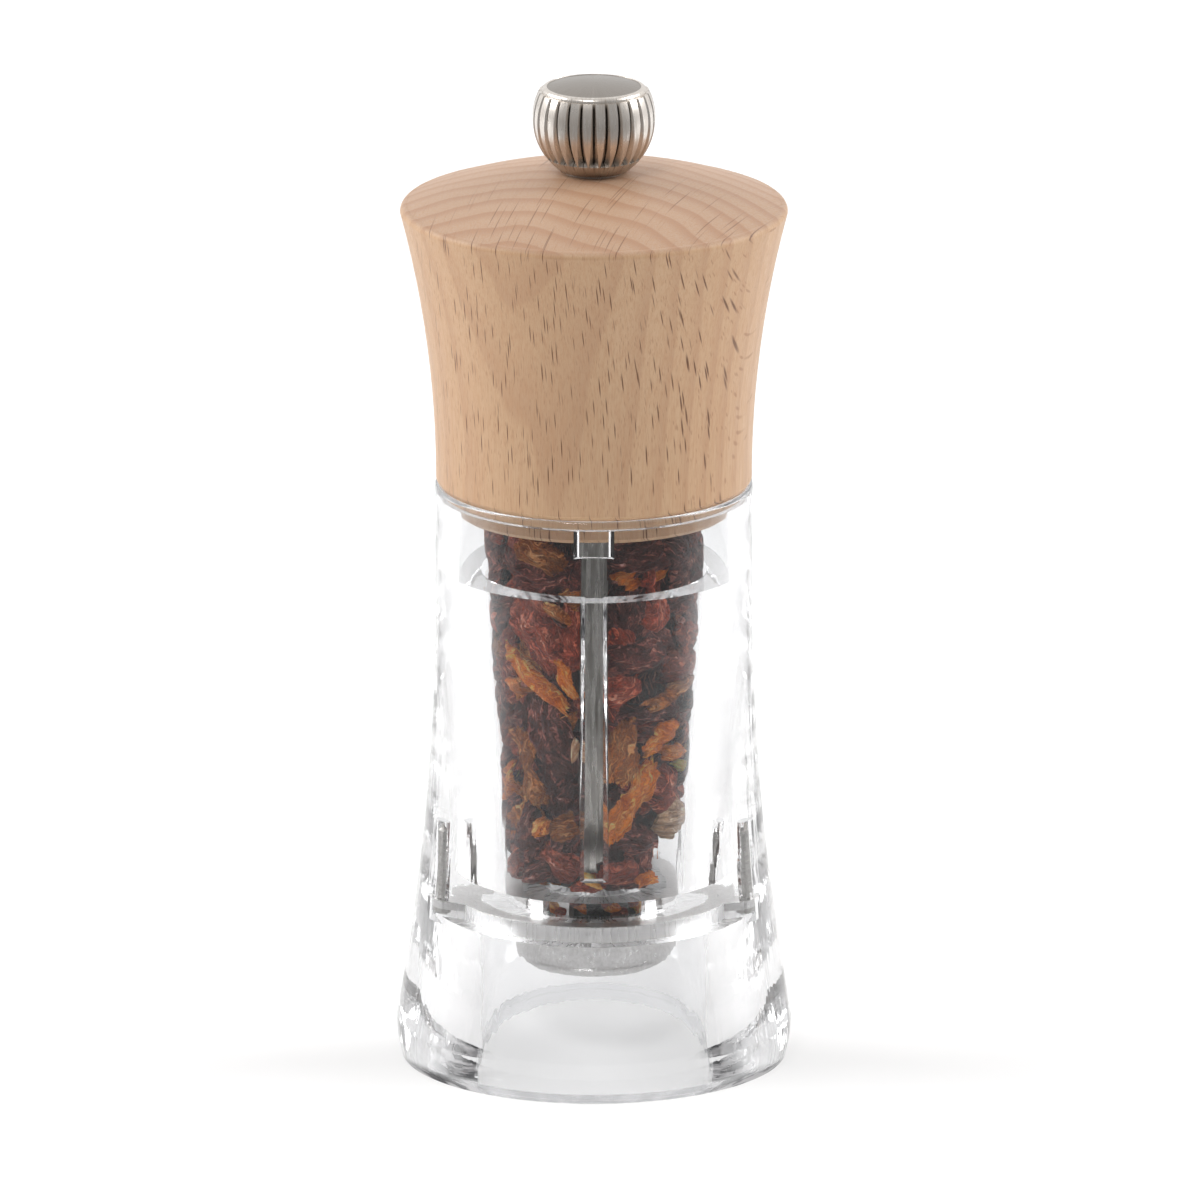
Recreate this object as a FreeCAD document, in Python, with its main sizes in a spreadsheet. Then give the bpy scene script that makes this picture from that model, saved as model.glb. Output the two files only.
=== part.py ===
import FreeCAD, Part
import math
import os

import Sketcher
from FreeCAD import Vector

# Table mill with a clear moulded body and a turned beech head, in millimetres.
# +Z is up, the mill stands on z = 0 and its axis is the Z axis.
# -Y is the front: the grain groove and the rim notch are on that side.

os.makedirs("parts", exist_ok=True)
doc = FreeCAD.newDocument("TableMill")
sheet = doc.addObject("Spreadsheet::Sheet", "Sizes")

SIZES = [
    # clear body, outside
    ("neck_radius", 22.15, "straight upper part of the clear body"),
    ("neck_length", 16.6, "length of that straight part, down from the rim"),
    ("rim_round", 0.5, "rounding of the rim's outer edge"),
    ("skirt_radius", 27.63, "widest ring of the skirt"),
    ("skirt_height", 5.5, "height of that ring over the table"),
    ("foot_inset", 0.73, "how far the flat foot lies inside that ring"),
    # clear body, inside, stacked from the table up
    ("recess_ledge", 2.9, "ceiling of the recess round the flange's pocket"),
    ("recess_depth", 20.0, "depth of that recess"),
    ("pocket_depth", 2.2, "pocket over it that takes the mounting flange"),
    ("pocket_play", 0.2, "clearance round the flange in its pocket"),
    ("floor_thick", 3.4, "floor between the pocket and the grain chamber"),
    ("mouth_play", 0.5, "gap from the spring bridge to the hole in that floor"),
    ("chamber_low_radius", 12.8, "grain chamber at its floor"),
    ("chamber_top_radius", 15.8, "grain chamber at the ledge"),
    ("chamber_depth", 44.8, "from the chamber's floor up to the ledge"),
    ("seat_ledge", 2.55, "ledge round the throat that carries the head"),
    ("throat_depth", 10.8, "from the ledge up to the head's seat"),
    ("rim_wall", 0.6, "wall of the rim round the head's edge"),
    ("seat_depth", 1.4, "depth of the counterbore under the rim"),
    ("groove_width", 2.3, "vertical groove in the chamber wall, at its floor"),
    ("groove_rise", 3.8, "lower end of the groove over the chamber's floor"),
    ("groove_sink", 0.6, "how far the groove's floor lies behind the chamber's upper edge"),
    ("notch_width", 4.0, "notch in the throat wall, at its floor"),
    ("notch_depth", 3.9, "how far the notch runs down from the seat"),
    ("notch_sink", 1.2, "how far the notch's floor lies behind the throat wall"),
    ("groove_draft", 0.16, "widening of the groove's sides towards the axis, per length"),
    ("notch_draft", 0.3, "widening of the notch's sides towards the axis, per length"),
    # turned head
    ("head_gap", 0.3, "radial play of the head in the clear body"),
    ("head_lip", 0.75, "how far the head stands out over its edge in the rim"),
    ("head_neck_rise", 1.4, "height of the curve into the rim"),
    ("head_side_rise", 38.9, "from the rim up to the head's upper edge"),
    ("head_edge_radius", 26.96, "widest radius of the head, at that edge"),
    ("head_edge_round", 1.0, "rounding of the head's upper edge"),
    ("head_crown_rise", 4.7, "rise of the crown over the rounded edge"),
    ("spigot_depth", 2.5, "length of the spigot in the throat"),
    ("spigot_edge", 0.6, "chamfer of the spigot"),
    ("head_bore_radius", 3.4, "hole for the shaft through the head"),
    # knob, stacked from the head's crown up
    ("knob_foot_radius", 4.3, "foot that stands on the head"),
    ("knob_foot_rise", 0.3, "height of the foot"),
    ("knob_low_radius", 4.82, "knob just over its foot"),
    ("knob_low_rise", 7.4, "from the foot up to the widest ring"),
    ("knob_radius", 8.55, "widest radius of the knob"),
    ("knob_high_rise", 3.8, "from the widest ring up to the shoulder"),
    ("knob_taper", 0.86, "how much narrower the knob is at the shoulder"),
    ("knob_ring_inset", 0.39, "step from the shoulder to the rolled ring on top"),
    ("knob_ring_rise", 0.7, "height of that ring"),
    ("knob_disc_gap", 0.1, "gap from the ring to the slightly domed top disc"),
    ("knob_disc_inset", 0.1, "step from the ring down to the disc"),
    ("knob_disc_rise", 0.7, "height of the disc's dome"),
    ("flute_count", 28, "grooves round the knob"),
    ("flute_depth", 0.55, "depth of a groove"),
    ("flute_width", 0.75, "width of a groove at the surface"),
    ("flute_sweep", 84, "angle that the cutter of a groove turns through, in degrees"),
    ("flute_rise", 0.5, "how far the grooves fade towards the foot"),
    ("insert_radius", 2.8, "outer radius of the threaded insert"),
    ("insert_length", 7.6, "length of the threaded insert"),
    # shaft
    ("shaft_square", 4.0, "across the flats of the square shaft"),
    ("thread_start", 1.2, "depth under the head's crown where the thread starts"),
    ("thread_reach", 7.2, "how far the thread stands over the head's crown"),
    ("thread_radius", 1.95, "outer radius of the threaded part"),
    ("pin_radius", 1.6, "round pin at the shaft's lower end"),
    ("pin_length", 3.2, "length of the pin under the square"),
    ("running_play", 0.05, "radial clearance of turning and sliding parts"),
    ("push_play", 0.02, "clearance of pieces pushed together for good"),
    # fixed mechanism, hung under the pocket's ceiling
    ("collar_wall", 1.1, "wall of the collar"),
    ("collar_length", 9.2, "length of the collar"),
    ("collar_round", 3.2, "rounding of the collar's lower edge"),
    ("collar_mouth", 7.4, "opening of the collar at the bottom"),
    ("flange_thick", 1.2, "thickness of the mounting flange and its lugs"),
    ("flange_rim", 1.7, "width of the flange round the collar"),
    ("lug_reach", 2.5, "how far a fixing screw lies outside the flange"),
    ("lug_radius", 1.75, "rounded end of a lug"),
    ("bridge_width", 4.6, "width of the lower bridge"),
    ("bridge_inset", 0.1, "gap from the bridge's ends to the collar's rounding"),
    ("bridge_thick", 1.1, "thickness of the lower bridge"),
    ("ring_hang", 1.5, "from the pocket's ceiling down to the grinding ring"),
    ("ring_length", 4.1, "height of the grinding ring"),
    ("ring_wall", 1.074, "wall of the ring at its lower edge"),
    ("ring_funnel", 2.15, "widening of the ring up to its mouth"),
    ("ring_teeth", 24, "teeth in the ring"),
    ("ring_tooth", 0.5, "depth of a ring tooth"),
    ("strap_thick", 0.8, "sheet of the spring bridge"),
    ("strap_rise", 4.7, "height of the spring bridge over the ring"),
    ("strap_play", 0.3, "gap from the cone to its legs"),
    ("strap_hub_radius", 5.0, "radius of its hub"),
    ("strap_width", 2.2, "width of a leg"),
    ("strap_legs", 3, "number of legs"),
    ("washer_radius", 4.2, "square-holed spring washer"),
    ("washer_thick", 0.7, "thickness of that washer"),
    ("spring_radius", 3.4, "middle radius of the spring"),
    ("spring_wire", 0.6, "wire of the spring"),
    ("spring_turns", 4.5, "turns of the spring"),
    # grinding cone and its clip, set from the ring
    ("ring_drop", 0.4, "how far the ring stands below the cone"),
    ("clip_radius", 3.2, "retaining clip under the cone"),
    ("clip_thick", 0.6, "thickness of the clip"),
    ("cone_height", 6.0, "height of the cone"),
    ("cone_low_radius", 8.2, "cone at its lower end, over the teeth"),
    ("cone_taper", 2.1, "how much narrower the cone is where the fine teeth end"),
    ("cone_mid_rise", 3.0, "height of the fine teeth"),
    ("cone_neck", 0.5, "how much narrower still its upper end is"),
    ("cone_web", 2.0, "solid bottom of the cone under the spring"),
    ("cone_wall", 0.6, "wall between the breaking grooves and the spring's pocket"),
    ("grind_gap", 0.35, "gap between the teeth when screwed tight"),
    ("fine_teeth", 26, "fine teeth on the cone"),
    ("fine_depth", 0.5, "depth of a fine tooth"),
    ("fine_skew", 12.0, "slant of the fine teeth, in degrees"),
    ("coarse_teeth", 7, "breaking teeth on the cone"),
    ("coarse_depth", 1.0, "depth of a breaking groove"),
    ("coarse_skew", 24.0, "slant of the breaking teeth, in degrees"),
    # fasteners
    ("screw_radius", 1.05, "thread of the self-tapping screws"),
    ("screw_length", 12.2, "length of the fixing screws under the head"),
    ("screw_head_radius", 1.7, "head of every screw"),
    ("screw_head_thick", 0.95, "height of the head of the fixing screws"),
    ("plate_head_thick", 0.9, "height of the head of the drive plate's screws"),
    ("screw_head_chamfer", 0.4, "chamfer of a screw head"),
    ("drive_slot", 0.5, "width of a screw's slot"),
    ("screw_play", 0.1, "radial clearance of a screw in its hole"),
    ("cut_margin", 0.3, "how far a cut runs past the solid it cuts"),
    ("plate_radius", 8.6, "square-holed drive plate in the head"),
    ("plate_thick", 1.2, "thickness of the drive plate"),
    ("plate_screw_circle", 6.2, "distance of the plate's screws from the axis"),
    ("plate_screw_length", 7.0, "length of the plate's screws"),
]

for row, (alias, number, meaning) in enumerate(SIZES, start=1):
    sheet.set(f"A{row}", alias)
    sheet.set(f"B{row}", str(number))
    sheet.set(f"C{row}", meaning)
    sheet.setAlias(f"B{row}", alias)
doc.recompute()


def value(formula):
    """Number that a formula of sheet sizes gives."""
    return float(sheet.evalExpression(named(formula)))


def named(formula):
    """Formula with each bare size name turned into a reference to the sheet."""
    text = str(formula)
    words = []
    word = ""
    for letter in text + " ":
        if letter.isalnum() or letter == "_":
            word += letter
            continue
        words.append("Sizes." + word if word in ALIASES else word)
        words.append(letter)
        word = ""
    return "".join(words).strip()


ALIASES = {alias for alias, _, _ in SIZES}


def new_body(label):
    body = doc.addObject("PartDesign::Body", label)
    body.Label = label
    return body


def origin_plane(body, role):
    for feature in body.Origin.OriginFeatures:
        if feature.Role == role:
            return feature
    raise RuntimeError(f"{body.Label} has no {role}")


def new_sketch(body, name, role, height=None):
    """Empty sketch on one of the body's planes, lifted to a height formula."""
    sketch = body.newObject("Sketcher::SketchObject", name)
    sketch.AttachmentSupport = (origin_plane(body, role), [""])
    sketch.MapMode = "FlatFace"
    if height is not None:
        sketch.setExpression("AttachmentOffset.Base.z", named(height))
    sketch.Visibility = False
    return sketch


def tie(sketch, kind, geometry, point, formula):
    """Bind one coordinate of a point to a formula; zero puts it on the axis."""
    if formula == 0:
        axis = -2 if kind == "DistanceX" else -1
        sketch.addConstraint(Sketcher.Constraint("PointOnObject", geometry, point, axis))
        return
    rule = Sketcher.Constraint(kind, -1, 1, geometry, point, value(formula))
    index = sketch.addConstraint(rule)
    sketch.setExpression(f"Constraints[{index}]", named(formula))


def arc_between(start, end, radius, side):
    """Short arc from start to end; side +1 bulges to the right of that way."""
    chord = end.sub(start)
    half = chord.Length / 2
    rise = radius - math.sqrt(max(radius * radius - half * half, 0.0))
    right = Vector(chord.y, -chord.x, 0).normalize()
    middle = (start + end) * 0.5 + right * (rise * side)
    return Part.Arc(start, middle, end)


def outline(sketch, corners):
    """Closed outline through corners (x, y) or (x, y, radius, side).

    x, y and radius are formulas of the sheet. A corner with a radius starts
    an arc to the next corner, and side says to which side it bulges.
    """
    points = [Vector(value(c[0]), value(c[1]), 0) for c in corners]
    arcs = {}
    for i, corner in enumerate(corners):
        start, end = points[i], points[(i + 1) % len(points)]
        if len(corner) == 2:
            sketch.addGeometry(Part.LineSegment(start, end))
            continue
        arc = arc_between(start, end, value(corner[2]), corner[3])
        sketch.addGeometry(arc)
        # the sketcher stores arcs anticlockwise, so an arc drawn the other
        # way has its first and last points swapped
        arcs[i] = sketch.getPoint(i, 1).sub(start).Length > 1e-6

    def first(i):
        return 2 if arcs.get(i) else 1

    def last(i):
        return 1 if arcs.get(i) else 2

    for i, corner in enumerate(corners):
        j = (i + 1) % len(corners)
        sketch.addConstraint(Sketcher.Constraint("Coincident", i, last(i), j, first(j)))
        tie(sketch, "DistanceX", i, first(i), corner[0])
        tie(sketch, "DistanceY", i, first(i), corner[1])
        if len(corner) == 4:
            rule = Sketcher.Constraint("Radius", i, value(corner[2]))
            index = sketch.addConstraint(rule)
            sketch.setExpression(f"Constraints[{index}]", named(corner[2]))


def ring(sketch, x, y, radius):
    """Circle with its middle at (x, y)."""
    spot = Vector(value(x), value(y), 0)
    index = sketch.addGeometry(Part.Circle(spot, Vector(0, 0, 1), value(radius)))
    tie(sketch, "DistanceX", index, 3, x)
    tie(sketch, "DistanceY", index, 3, y)
    rule = sketch.addConstraint(Sketcher.Constraint("Radius", index, value(radius)))
    sketch.setExpression(f"Constraints[{rule}]", named(radius))


def turned(body, corners, name="Profile"):
    """Solid of revolution about Z from an outline in the XZ plane."""
    sketch = new_sketch(body, name, "XZ_Plane")
    outline(sketch, corners)
    doc.recompute()
    feature = body.newObject("PartDesign::Revolution", f"{name}Turned")
    feature.Profile = (sketch, [""])
    feature.ReferenceAxis = (sketch, ["V_Axis"])
    feature.Angle = 360
    doc.recompute()
    return feature


def extruded(body, kind, sketch, length, reverse=False):
    """Pad or pocket of a sketch; a pocket that removes nothing is an error."""
    before = body.Shape.Volume if body.Tip else 0.0
    feature = body.newObject(f"PartDesign::{kind}", f"{sketch.Name}{kind}")
    feature.Profile = (sketch, [""])
    feature.setExpression("Length", named(length))
    feature.Reversed = reverse
    doc.recompute()
    if abs(feature.Shape.Volume - before) < 1e-4:
        raise RuntimeError(f"{feature.Name} changes nothing")
    return feature


def repeated(body, feature, sketch, count, axis="N_Axis"):
    """Polar pattern of a feature round the sketch's normal."""
    pattern = body.newObject("PartDesign::PolarPattern", f"{feature.Name}Round")
    pattern.Originals = [feature]
    pattern.Axis = (sketch, [axis])
    pattern.Angle = 360
    if isinstance(count, str):
        pattern.setExpression("Occurrences", named(count))
    else:
        pattern.Occurrences = count
    body.Tip = pattern
    doc.recompute()
    return pattern


def square_hole(body, side, z_low, depth):
    """Square hole of the shaft's section, up from z_low."""
    sketch = new_sketch(body, "SquareHole", "XY_Plane", z_low)
    half = f"({side}) / 2"
    outline(sketch, [
        (f"-{half}", f"-{half}"),
        (half, f"-{half}"),
        (half, half),
        (f"-{half}", half),
    ])
    doc.recompute()
    return extruded(body, "Pocket", sketch, depth, reverse=True)


def bow(run, rise):
    """Radius of the arc that starts upright and gains run over rise."""
    return f"((({run}) ^ 2 + ({rise}) ^ 2) / (2 * ({run})))"


# Levels that several pieces share, as formulas of the sheet
CEILING = "(recess_depth + pocket_depth)"
FLOOR = f"({CEILING} + floor_thick)"
LEDGE = f"({FLOOR} + chamber_depth)"
SEAT = f"({LEDGE} + throat_depth)"
RIM = f"({SEAT} + seat_depth)"
SPIGOT_BOTTOM = f"({SEAT} - spigot_depth)"
HEAD_EDGE = f"({RIM} + head_side_rise)"
HEAD_TOP = f"({HEAD_EDGE} + head_edge_round + head_crown_rise)"
COLLAR_BOTTOM = f"({CEILING} - collar_length)"
FLANGE_BOTTOM = f"({CEILING} - flange_thick)"
RING_TOP = f"({CEILING} - ring_hang)"
RING_BOTTOM = f"({RING_TOP} - ring_length)"
CONE_BOTTOM = f"({RING_BOTTOM} + ring_drop)"
CLIP_BOTTOM = f"({CONE_BOTTOM} - clip_thick)"
STRAP_TOP = f"({RING_TOP} + strap_rise)"
WASHER_TOP = f"({STRAP_TOP} - strap_thick - running_play)"

# Radii that several pieces share: the clear body from the outside in, the
# mechanism from the grinding cone out
FOOT_RADIUS = "(skirt_radius - foot_inset)"
SEAT_RADIUS = "(neck_radius - rim_wall)"
THROAT_RADIUS = f"({SEAT_RADIUS} - seat_ledge)"
CONE_MID = "(cone_low_radius - cone_taper)"
CONE_HIGH = f"({CONE_MID} - cone_neck)"
RING_WAIST = f"({CONE_MID} + grind_gap)"
RING_BORE = f"({RING_WAIST} + cone_taper / (cone_mid_rise - fine_depth) * (cone_mid_rise + ring_drop))"
RING_RADIUS = f"({RING_BORE} + ring_wall)"
COLLAR_RADIUS = f"({RING_RADIUS} + push_play + collar_wall)"
FLANGE_RADIUS = f"({COLLAR_RADIUS} + flange_rim)"
SCREW_CIRCLE = f"({FLANGE_RADIUS} + lug_reach)"
RECESS_RADIUS = f"({FLANGE_RADIUS} + pocket_play + recess_ledge)"
STRAP_LEG = f"({CONE_MID} + strap_play + strap_thick)"
MOUTH_RADIUS = f"({STRAP_LEG} + mouth_play)"

# Half the diagonal of a square over its side, rounded up, and the width of
# a breaking groove over its pitch
HALF_DIAGONAL = 0.7072
GROOVE_SHARE = 0.7


# Clear body ---------------------------------------------------------------

def drafted_cut(body, name, width, low, high, reach, draft):
    """Slot in the front wall whose sides and lower end widen towards the axis."""
    sketches = []
    for index, (far, spread) in enumerate(((reach, "0"), ("0", f"{reach} * {draft}"))):
        sketch = new_sketch(body, f"{name}{index}", "XZ_Plane", far)
        half = f"({width} / 2 + {spread})"
        outline(sketch, [
            (f"-{half}", f"{low} - {spread}"),
            (half, f"{low} - {spread}"),
            (half, high),
            (f"-{half}", high),
        ])
        sketches.append(sketch)
    doc.recompute()
    loft = body.newObject("PartDesign::SubtractiveLoft", f"{name}Cut")
    loft.Profile = (sketches[0], [""])
    loft.Sections = [(sketches[1], [""])]
    loft.Ruled = True
    doc.recompute()


def flange_plan(body, kind, low, length, play, reverse):
    """Pad or pocket with the plan of the mounting flange, grown by a play."""
    disc = new_sketch(body, "Plan", "XY_Plane", low)
    ring(disc, 0, 0, f"{FLANGE_RADIUS} + {play}")
    arms = new_sketch(body, "LugArms", "XY_Plane", low)
    half = f"(lug_radius + {play})"
    outline(arms, [
        (f"-{SCREW_CIRCLE}", f"-{half}"),
        (SCREW_CIRCLE, f"-{half}"),
        (SCREW_CIRCLE, half),
        (f"-{SCREW_CIRCLE}", half),
    ])
    ends = new_sketch(body, "LugEnds", "XY_Plane", low)
    ring(ends, SCREW_CIRCLE, 0, half)
    ring(ends, f"-{SCREW_CIRCLE}", 0, half)
    doc.recompute()
    for sketch in (disc, arms, ends):
        extruded(body, kind, sketch, length, reverse)


def make_acrylic_body():
    body = new_body("acrylic_body")
    neck_bottom = f"({RIM} - neck_length)"
    foot = bow("foot_inset", "skirt_height")
    flare = bow("skirt_radius - neck_radius", f"{neck_bottom} - skirt_height")
    turned(body, [
        (RECESS_RADIUS, 0),
        (FOOT_RADIUS, 0, foot, 1),
        ("skirt_radius", "skirt_height", flare, -1),
        ("neck_radius", neck_bottom),
        ("neck_radius", f"{RIM} - rim_round", "rim_round", 1),
        ("neck_radius - rim_round", RIM),
        (SEAT_RADIUS, RIM),
        (SEAT_RADIUS, SEAT),
        (THROAT_RADIUS, SEAT),
        (THROAT_RADIUS, LEDGE),
        ("chamber_top_radius", LEDGE),
        ("chamber_low_radius", FLOOR),
        (MOUTH_RADIUS, FLOOR),
        (MOUTH_RADIUS, "recess_depth"),
        (RECESS_RADIUS, "recess_depth"),
    ])
    drafted_cut(body, "Groove", "groove_width", f"{FLOOR} + groove_rise", LEDGE,
                "(chamber_top_radius + groove_sink)", "groove_draft")
    drafted_cut(body, "Notch", "notch_width", f"{SEAT} - notch_depth", RIM,
                f"({THROAT_RADIUS} + notch_sink)", "notch_draft")
    flange_plan(body, "Pocket", "recess_depth", "pocket_depth", "pocket_play", True)
    holes = new_sketch(body, "ScrewHoles", "XY_Plane", CEILING)
    ring(holes, SCREW_CIRCLE, 0, "screw_radius + running_play")
    ring(holes, f"-{SCREW_CIRCLE}", 0, "screw_radius + running_play")
    doc.recompute()
    extruded(body, "Pocket", holes, "screw_length - flange_thick + 4 * screw_play", reverse=True)
    return body


# Head ---------------------------------------------------------------------

def make_wood_head():
    body = new_body("wood_head")
    inner_edge = f"({SEAT_RADIUS} - head_gap)"
    spigot = f"({THROAT_RADIUS} - head_gap)"
    head_neck = f"({inner_edge} + head_lip)"
    neck = f"({RIM} + head_neck_rise / 2)"
    side = bow(f"head_edge_radius - {head_neck}", f"{HEAD_EDGE} - {neck}")
    crown = bow("head_crown_rise", "head_edge_radius - head_edge_round")
    turned(body, [
        ("head_bore_radius", f"{SPIGOT_BOTTOM} + plate_thick"),
        ("plate_radius + push_play", f"{SPIGOT_BOTTOM} + plate_thick"),
        ("plate_radius + push_play", SPIGOT_BOTTOM),
        (f"{spigot} - spigot_edge", SPIGOT_BOTTOM),
        (spigot, f"{SPIGOT_BOTTOM} + spigot_edge"),
        (spigot, SEAT),
        (f"{inner_edge} - rim_round", SEAT, "rim_round", 1),
        (inner_edge, f"{SEAT} + rim_round"),
        (inner_edge, RIM, "head_neck_rise", 1),
        (head_neck, neck, side, -1),
        ("head_edge_radius", HEAD_EDGE, "head_edge_round", 1),
        ("head_edge_radius - head_edge_round", f"{HEAD_EDGE} + head_edge_round", crown, 1),
        ("knob_foot_radius", HEAD_TOP),
        ("head_bore_radius", HEAD_TOP),
    ])
    pilots = new_sketch(body, "PlatePilots", "XY_Plane", SPIGOT_BOTTOM)
    ring(pilots, "plate_screw_circle", 0, "screw_radius + push_play")
    ring(pilots, "-plate_screw_circle", 0, "screw_radius + push_play")
    doc.recompute()
    extruded(body, "Pocket", pilots, "plate_screw_length + screw_play", reverse=True)
    return body


def make_drive_plate():
    body = new_body("drive_plate")
    turned(body, [
        (0, SPIGOT_BOTTOM),
        ("plate_radius", SPIGOT_BOTTOM),
        ("plate_radius", f"{SPIGOT_BOTTOM} + plate_thick"),
        (0, f"{SPIGOT_BOTTOM} + plate_thick"),
    ])
    square_hole(body, "shaft_square + 2 * running_play", SPIGOT_BOTTOM, "plate_thick")
    holes = new_sketch(body, "ScrewHoles", "XY_Plane", SPIGOT_BOTTOM)
    ring(holes, "plate_screw_circle", 0, "screw_radius + screw_play")
    ring(holes, "-plate_screw_circle", 0, "screw_radius + screw_play")
    doc.recompute()
    extruded(body, "Pocket", holes, "plate_thick", reverse=True)
    return body


# Knob ---------------------------------------------------------------------

def make_knob():
    body = new_body("adjusting_knob")
    foot = f"({HEAD_TOP} + knob_foot_rise)"
    middle = f"({foot} + knob_low_rise)"
    shoulder = f"({middle} + knob_high_rise)"
    rim = f"({shoulder} + knob_ring_rise)"
    disc = f"({rim} - knob_disc_inset)"
    shoulder_radius = "(knob_radius - knob_taper)"
    ring_radius = f"({shoulder_radius} - knob_ring_inset)"
    disc_radius = f"({ring_radius} - knob_ring_rise - knob_disc_gap)"
    turned(body, [
        ("insert_radius + push_play", HEAD_TOP),
        ("knob_foot_radius", HEAD_TOP),
        ("knob_foot_radius", foot),
        ("knob_low_radius", foot, bow("knob_radius - knob_low_radius", "knob_low_rise"), 1),
        ("knob_radius", middle, bow("knob_taper", "knob_high_rise"), 1),
        (shoulder_radius, shoulder),
        (ring_radius, shoulder, "knob_ring_rise", 1),
        (f"{ring_radius} - knob_ring_rise", rim),
        (disc_radius, disc, bow("knob_disc_rise", disc_radius), 1),
        (0, f"{disc} + knob_disc_rise"),
        (0, f"{HEAD_TOP} + insert_length"),
        ("insert_radius + push_play", f"{HEAD_TOP} + insert_length"),
    ])
    flute = new_sketch(body, "Flute", "XY_Plane", f"{middle} + flute_rise")
    outline(flute, [
        ("knob_radius - flute_depth", 0),
        ("knob_radius + flute_depth", "flute_width"),
        ("knob_radius + flute_depth", "-flute_width"),
    ])
    doc.recompute()
    groove = body.newObject("PartDesign::Groove", "FluteCut")
    groove.Profile = (flute, [""])
    groove.ReferenceAxis = (flute, ["V_Axis"])
    groove.setExpression("Angle", named("flute_sweep"))
    groove.Midplane = True
    doc.recompute()
    repeated(body, groove, flute, "flute_count")
    return body


def make_knob_insert():
    body = new_body("knob_insert")
    turned(body, [
        ("thread_radius + running_play", HEAD_TOP),
        ("insert_radius", HEAD_TOP),
        ("insert_radius", f"{HEAD_TOP} + insert_length"),
        ("thread_radius + running_play", f"{HEAD_TOP} + insert_length"),
    ])
    return body


# Shaft and grinding set ---------------------------------------------------

def make_drive_shaft():
    body = new_body("drive_shaft")
    section = new_sketch(body, "Square", "XY_Plane", CLIP_BOTTOM)
    half = "shaft_square / 2"
    outline(section, [
        (f"-{half}", f"-{half}"),
        (half, f"-{half}"),
        (half, half),
        (f"-{half}", half),
    ])
    doc.recompute()
    square_top = f"({HEAD_TOP} - thread_start)"
    extruded(body, "Pad", section, f"{square_top} - {CLIP_BOTTOM}")
    ends = [
        ("Pin", "pin_radius", f"{CLIP_BOTTOM} - pin_length", "pin_length"),
        ("Thread", "thread_radius", square_top, "thread_start + thread_reach"),
    ]
    for name, radius, low, length in ends:
        sketch = new_sketch(body, name, "XY_Plane", low)
        ring(sketch, 0, 0, radius)
        doc.recompute()
        extruded(body, "Pad", sketch, length)
    return body


def skewed_cut(body, name, low, high, turn, near, depth, half, outward):
    """V groove that runs from one height to another while it turns.

    near gives the tooth's crest radius at both heights; the groove is cut
    outward (into a ring) or inward (into a cone).
    """
    sketches = []
    for index, (level, radius, angle) in enumerate(((low, near[0], 0), (high, near[1], turn))):
        sketch = new_sketch(body, f"{name}{index}", "XY_Plane", level)
        way = 1 if outward else -1
        crest = f"({radius})"
        outline(sketch, [
            (f"{crest} + {way} * ({depth})", 0),
            (f"{crest} - {way} * ({depth})", half),
            (f"{crest} - {way} * ({depth})", f"-({half})"),
        ])
        if angle:
            sketch.setExpression("AttachmentOffset.Rotation.Angle", named(angle))
        sketches.append(sketch)
    doc.recompute()
    loft = body.newObject("PartDesign::SubtractiveLoft", f"{name}Cut")
    loft.Profile = (sketches[0], [""])
    loft.Sections = [(sketches[1], [""])]
    loft.Ruled = True
    doc.recompute()
    return loft, sketches[0]


def make_grinding_cone():
    body = new_body("grinding_cone")
    top = f"{CONE_BOTTOM} + cone_height"
    middle = f"{CONE_BOTTOM} + cone_mid_rise"
    pocket = f"({CONE_HIGH} - coarse_depth - cone_wall)"
    turned(body, [
        (0, CONE_BOTTOM),
        ("cone_low_radius - fine_depth", CONE_BOTTOM),
        ("cone_low_radius", f"{CONE_BOTTOM} + fine_depth"),
        (CONE_MID, middle),
        (CONE_HIGH, top),
        (pocket, top),
        (pocket, f"{CONE_BOTTOM} + cone_web"),
        (0, f"{CONE_BOTTOM} + cone_web"),
    ])
    square_hole(body, "shaft_square + 2 * push_play", CONE_BOTTOM, "cone_web")
    fine, fine_sketch = skewed_cut(
        body, "FineTooth", f"{CONE_BOTTOM} - cut_margin", middle, "fine_skew",
        ("cone_low_radius", CONE_MID), "fine_depth",
        f"{CONE_MID} * {math.pi} / fine_teeth", False)
    repeated(body, fine, fine_sketch, "fine_teeth")
    coarse, coarse_sketch = skewed_cut(
        body, "CoarseTooth", middle, f"{top} + cut_margin", "coarse_skew",
        (CONE_MID, CONE_HIGH), "coarse_depth",
        f"{CONE_MID} * {math.pi} / coarse_teeth * {GROOVE_SHARE}", False)
    repeated(body, coarse, coarse_sketch, "coarse_teeth")
    return body


def make_grinder_ring():
    body = new_body("grinder_ring")
    turned(body, [
        (RING_BORE, RING_BOTTOM),
        (RING_RADIUS, RING_BOTTOM),
        (RING_RADIUS, RING_TOP),
        (f"{RING_WAIST} + ring_funnel", RING_TOP),
        (RING_WAIST, f"{CONE_BOTTOM} + cone_mid_rise"),
    ])
    tooth, tooth_sketch = skewed_cut(
        body, "RingTooth", f"{RING_BOTTOM} - cut_margin", f"{RING_TOP} + cut_margin", "-fine_skew",
        (RING_BORE, RING_WAIST), "ring_tooth",
        f"{CONE_MID} * {math.pi} / ring_teeth", True)
    repeated(body, tooth, tooth_sketch, "ring_teeth")
    return body


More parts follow.
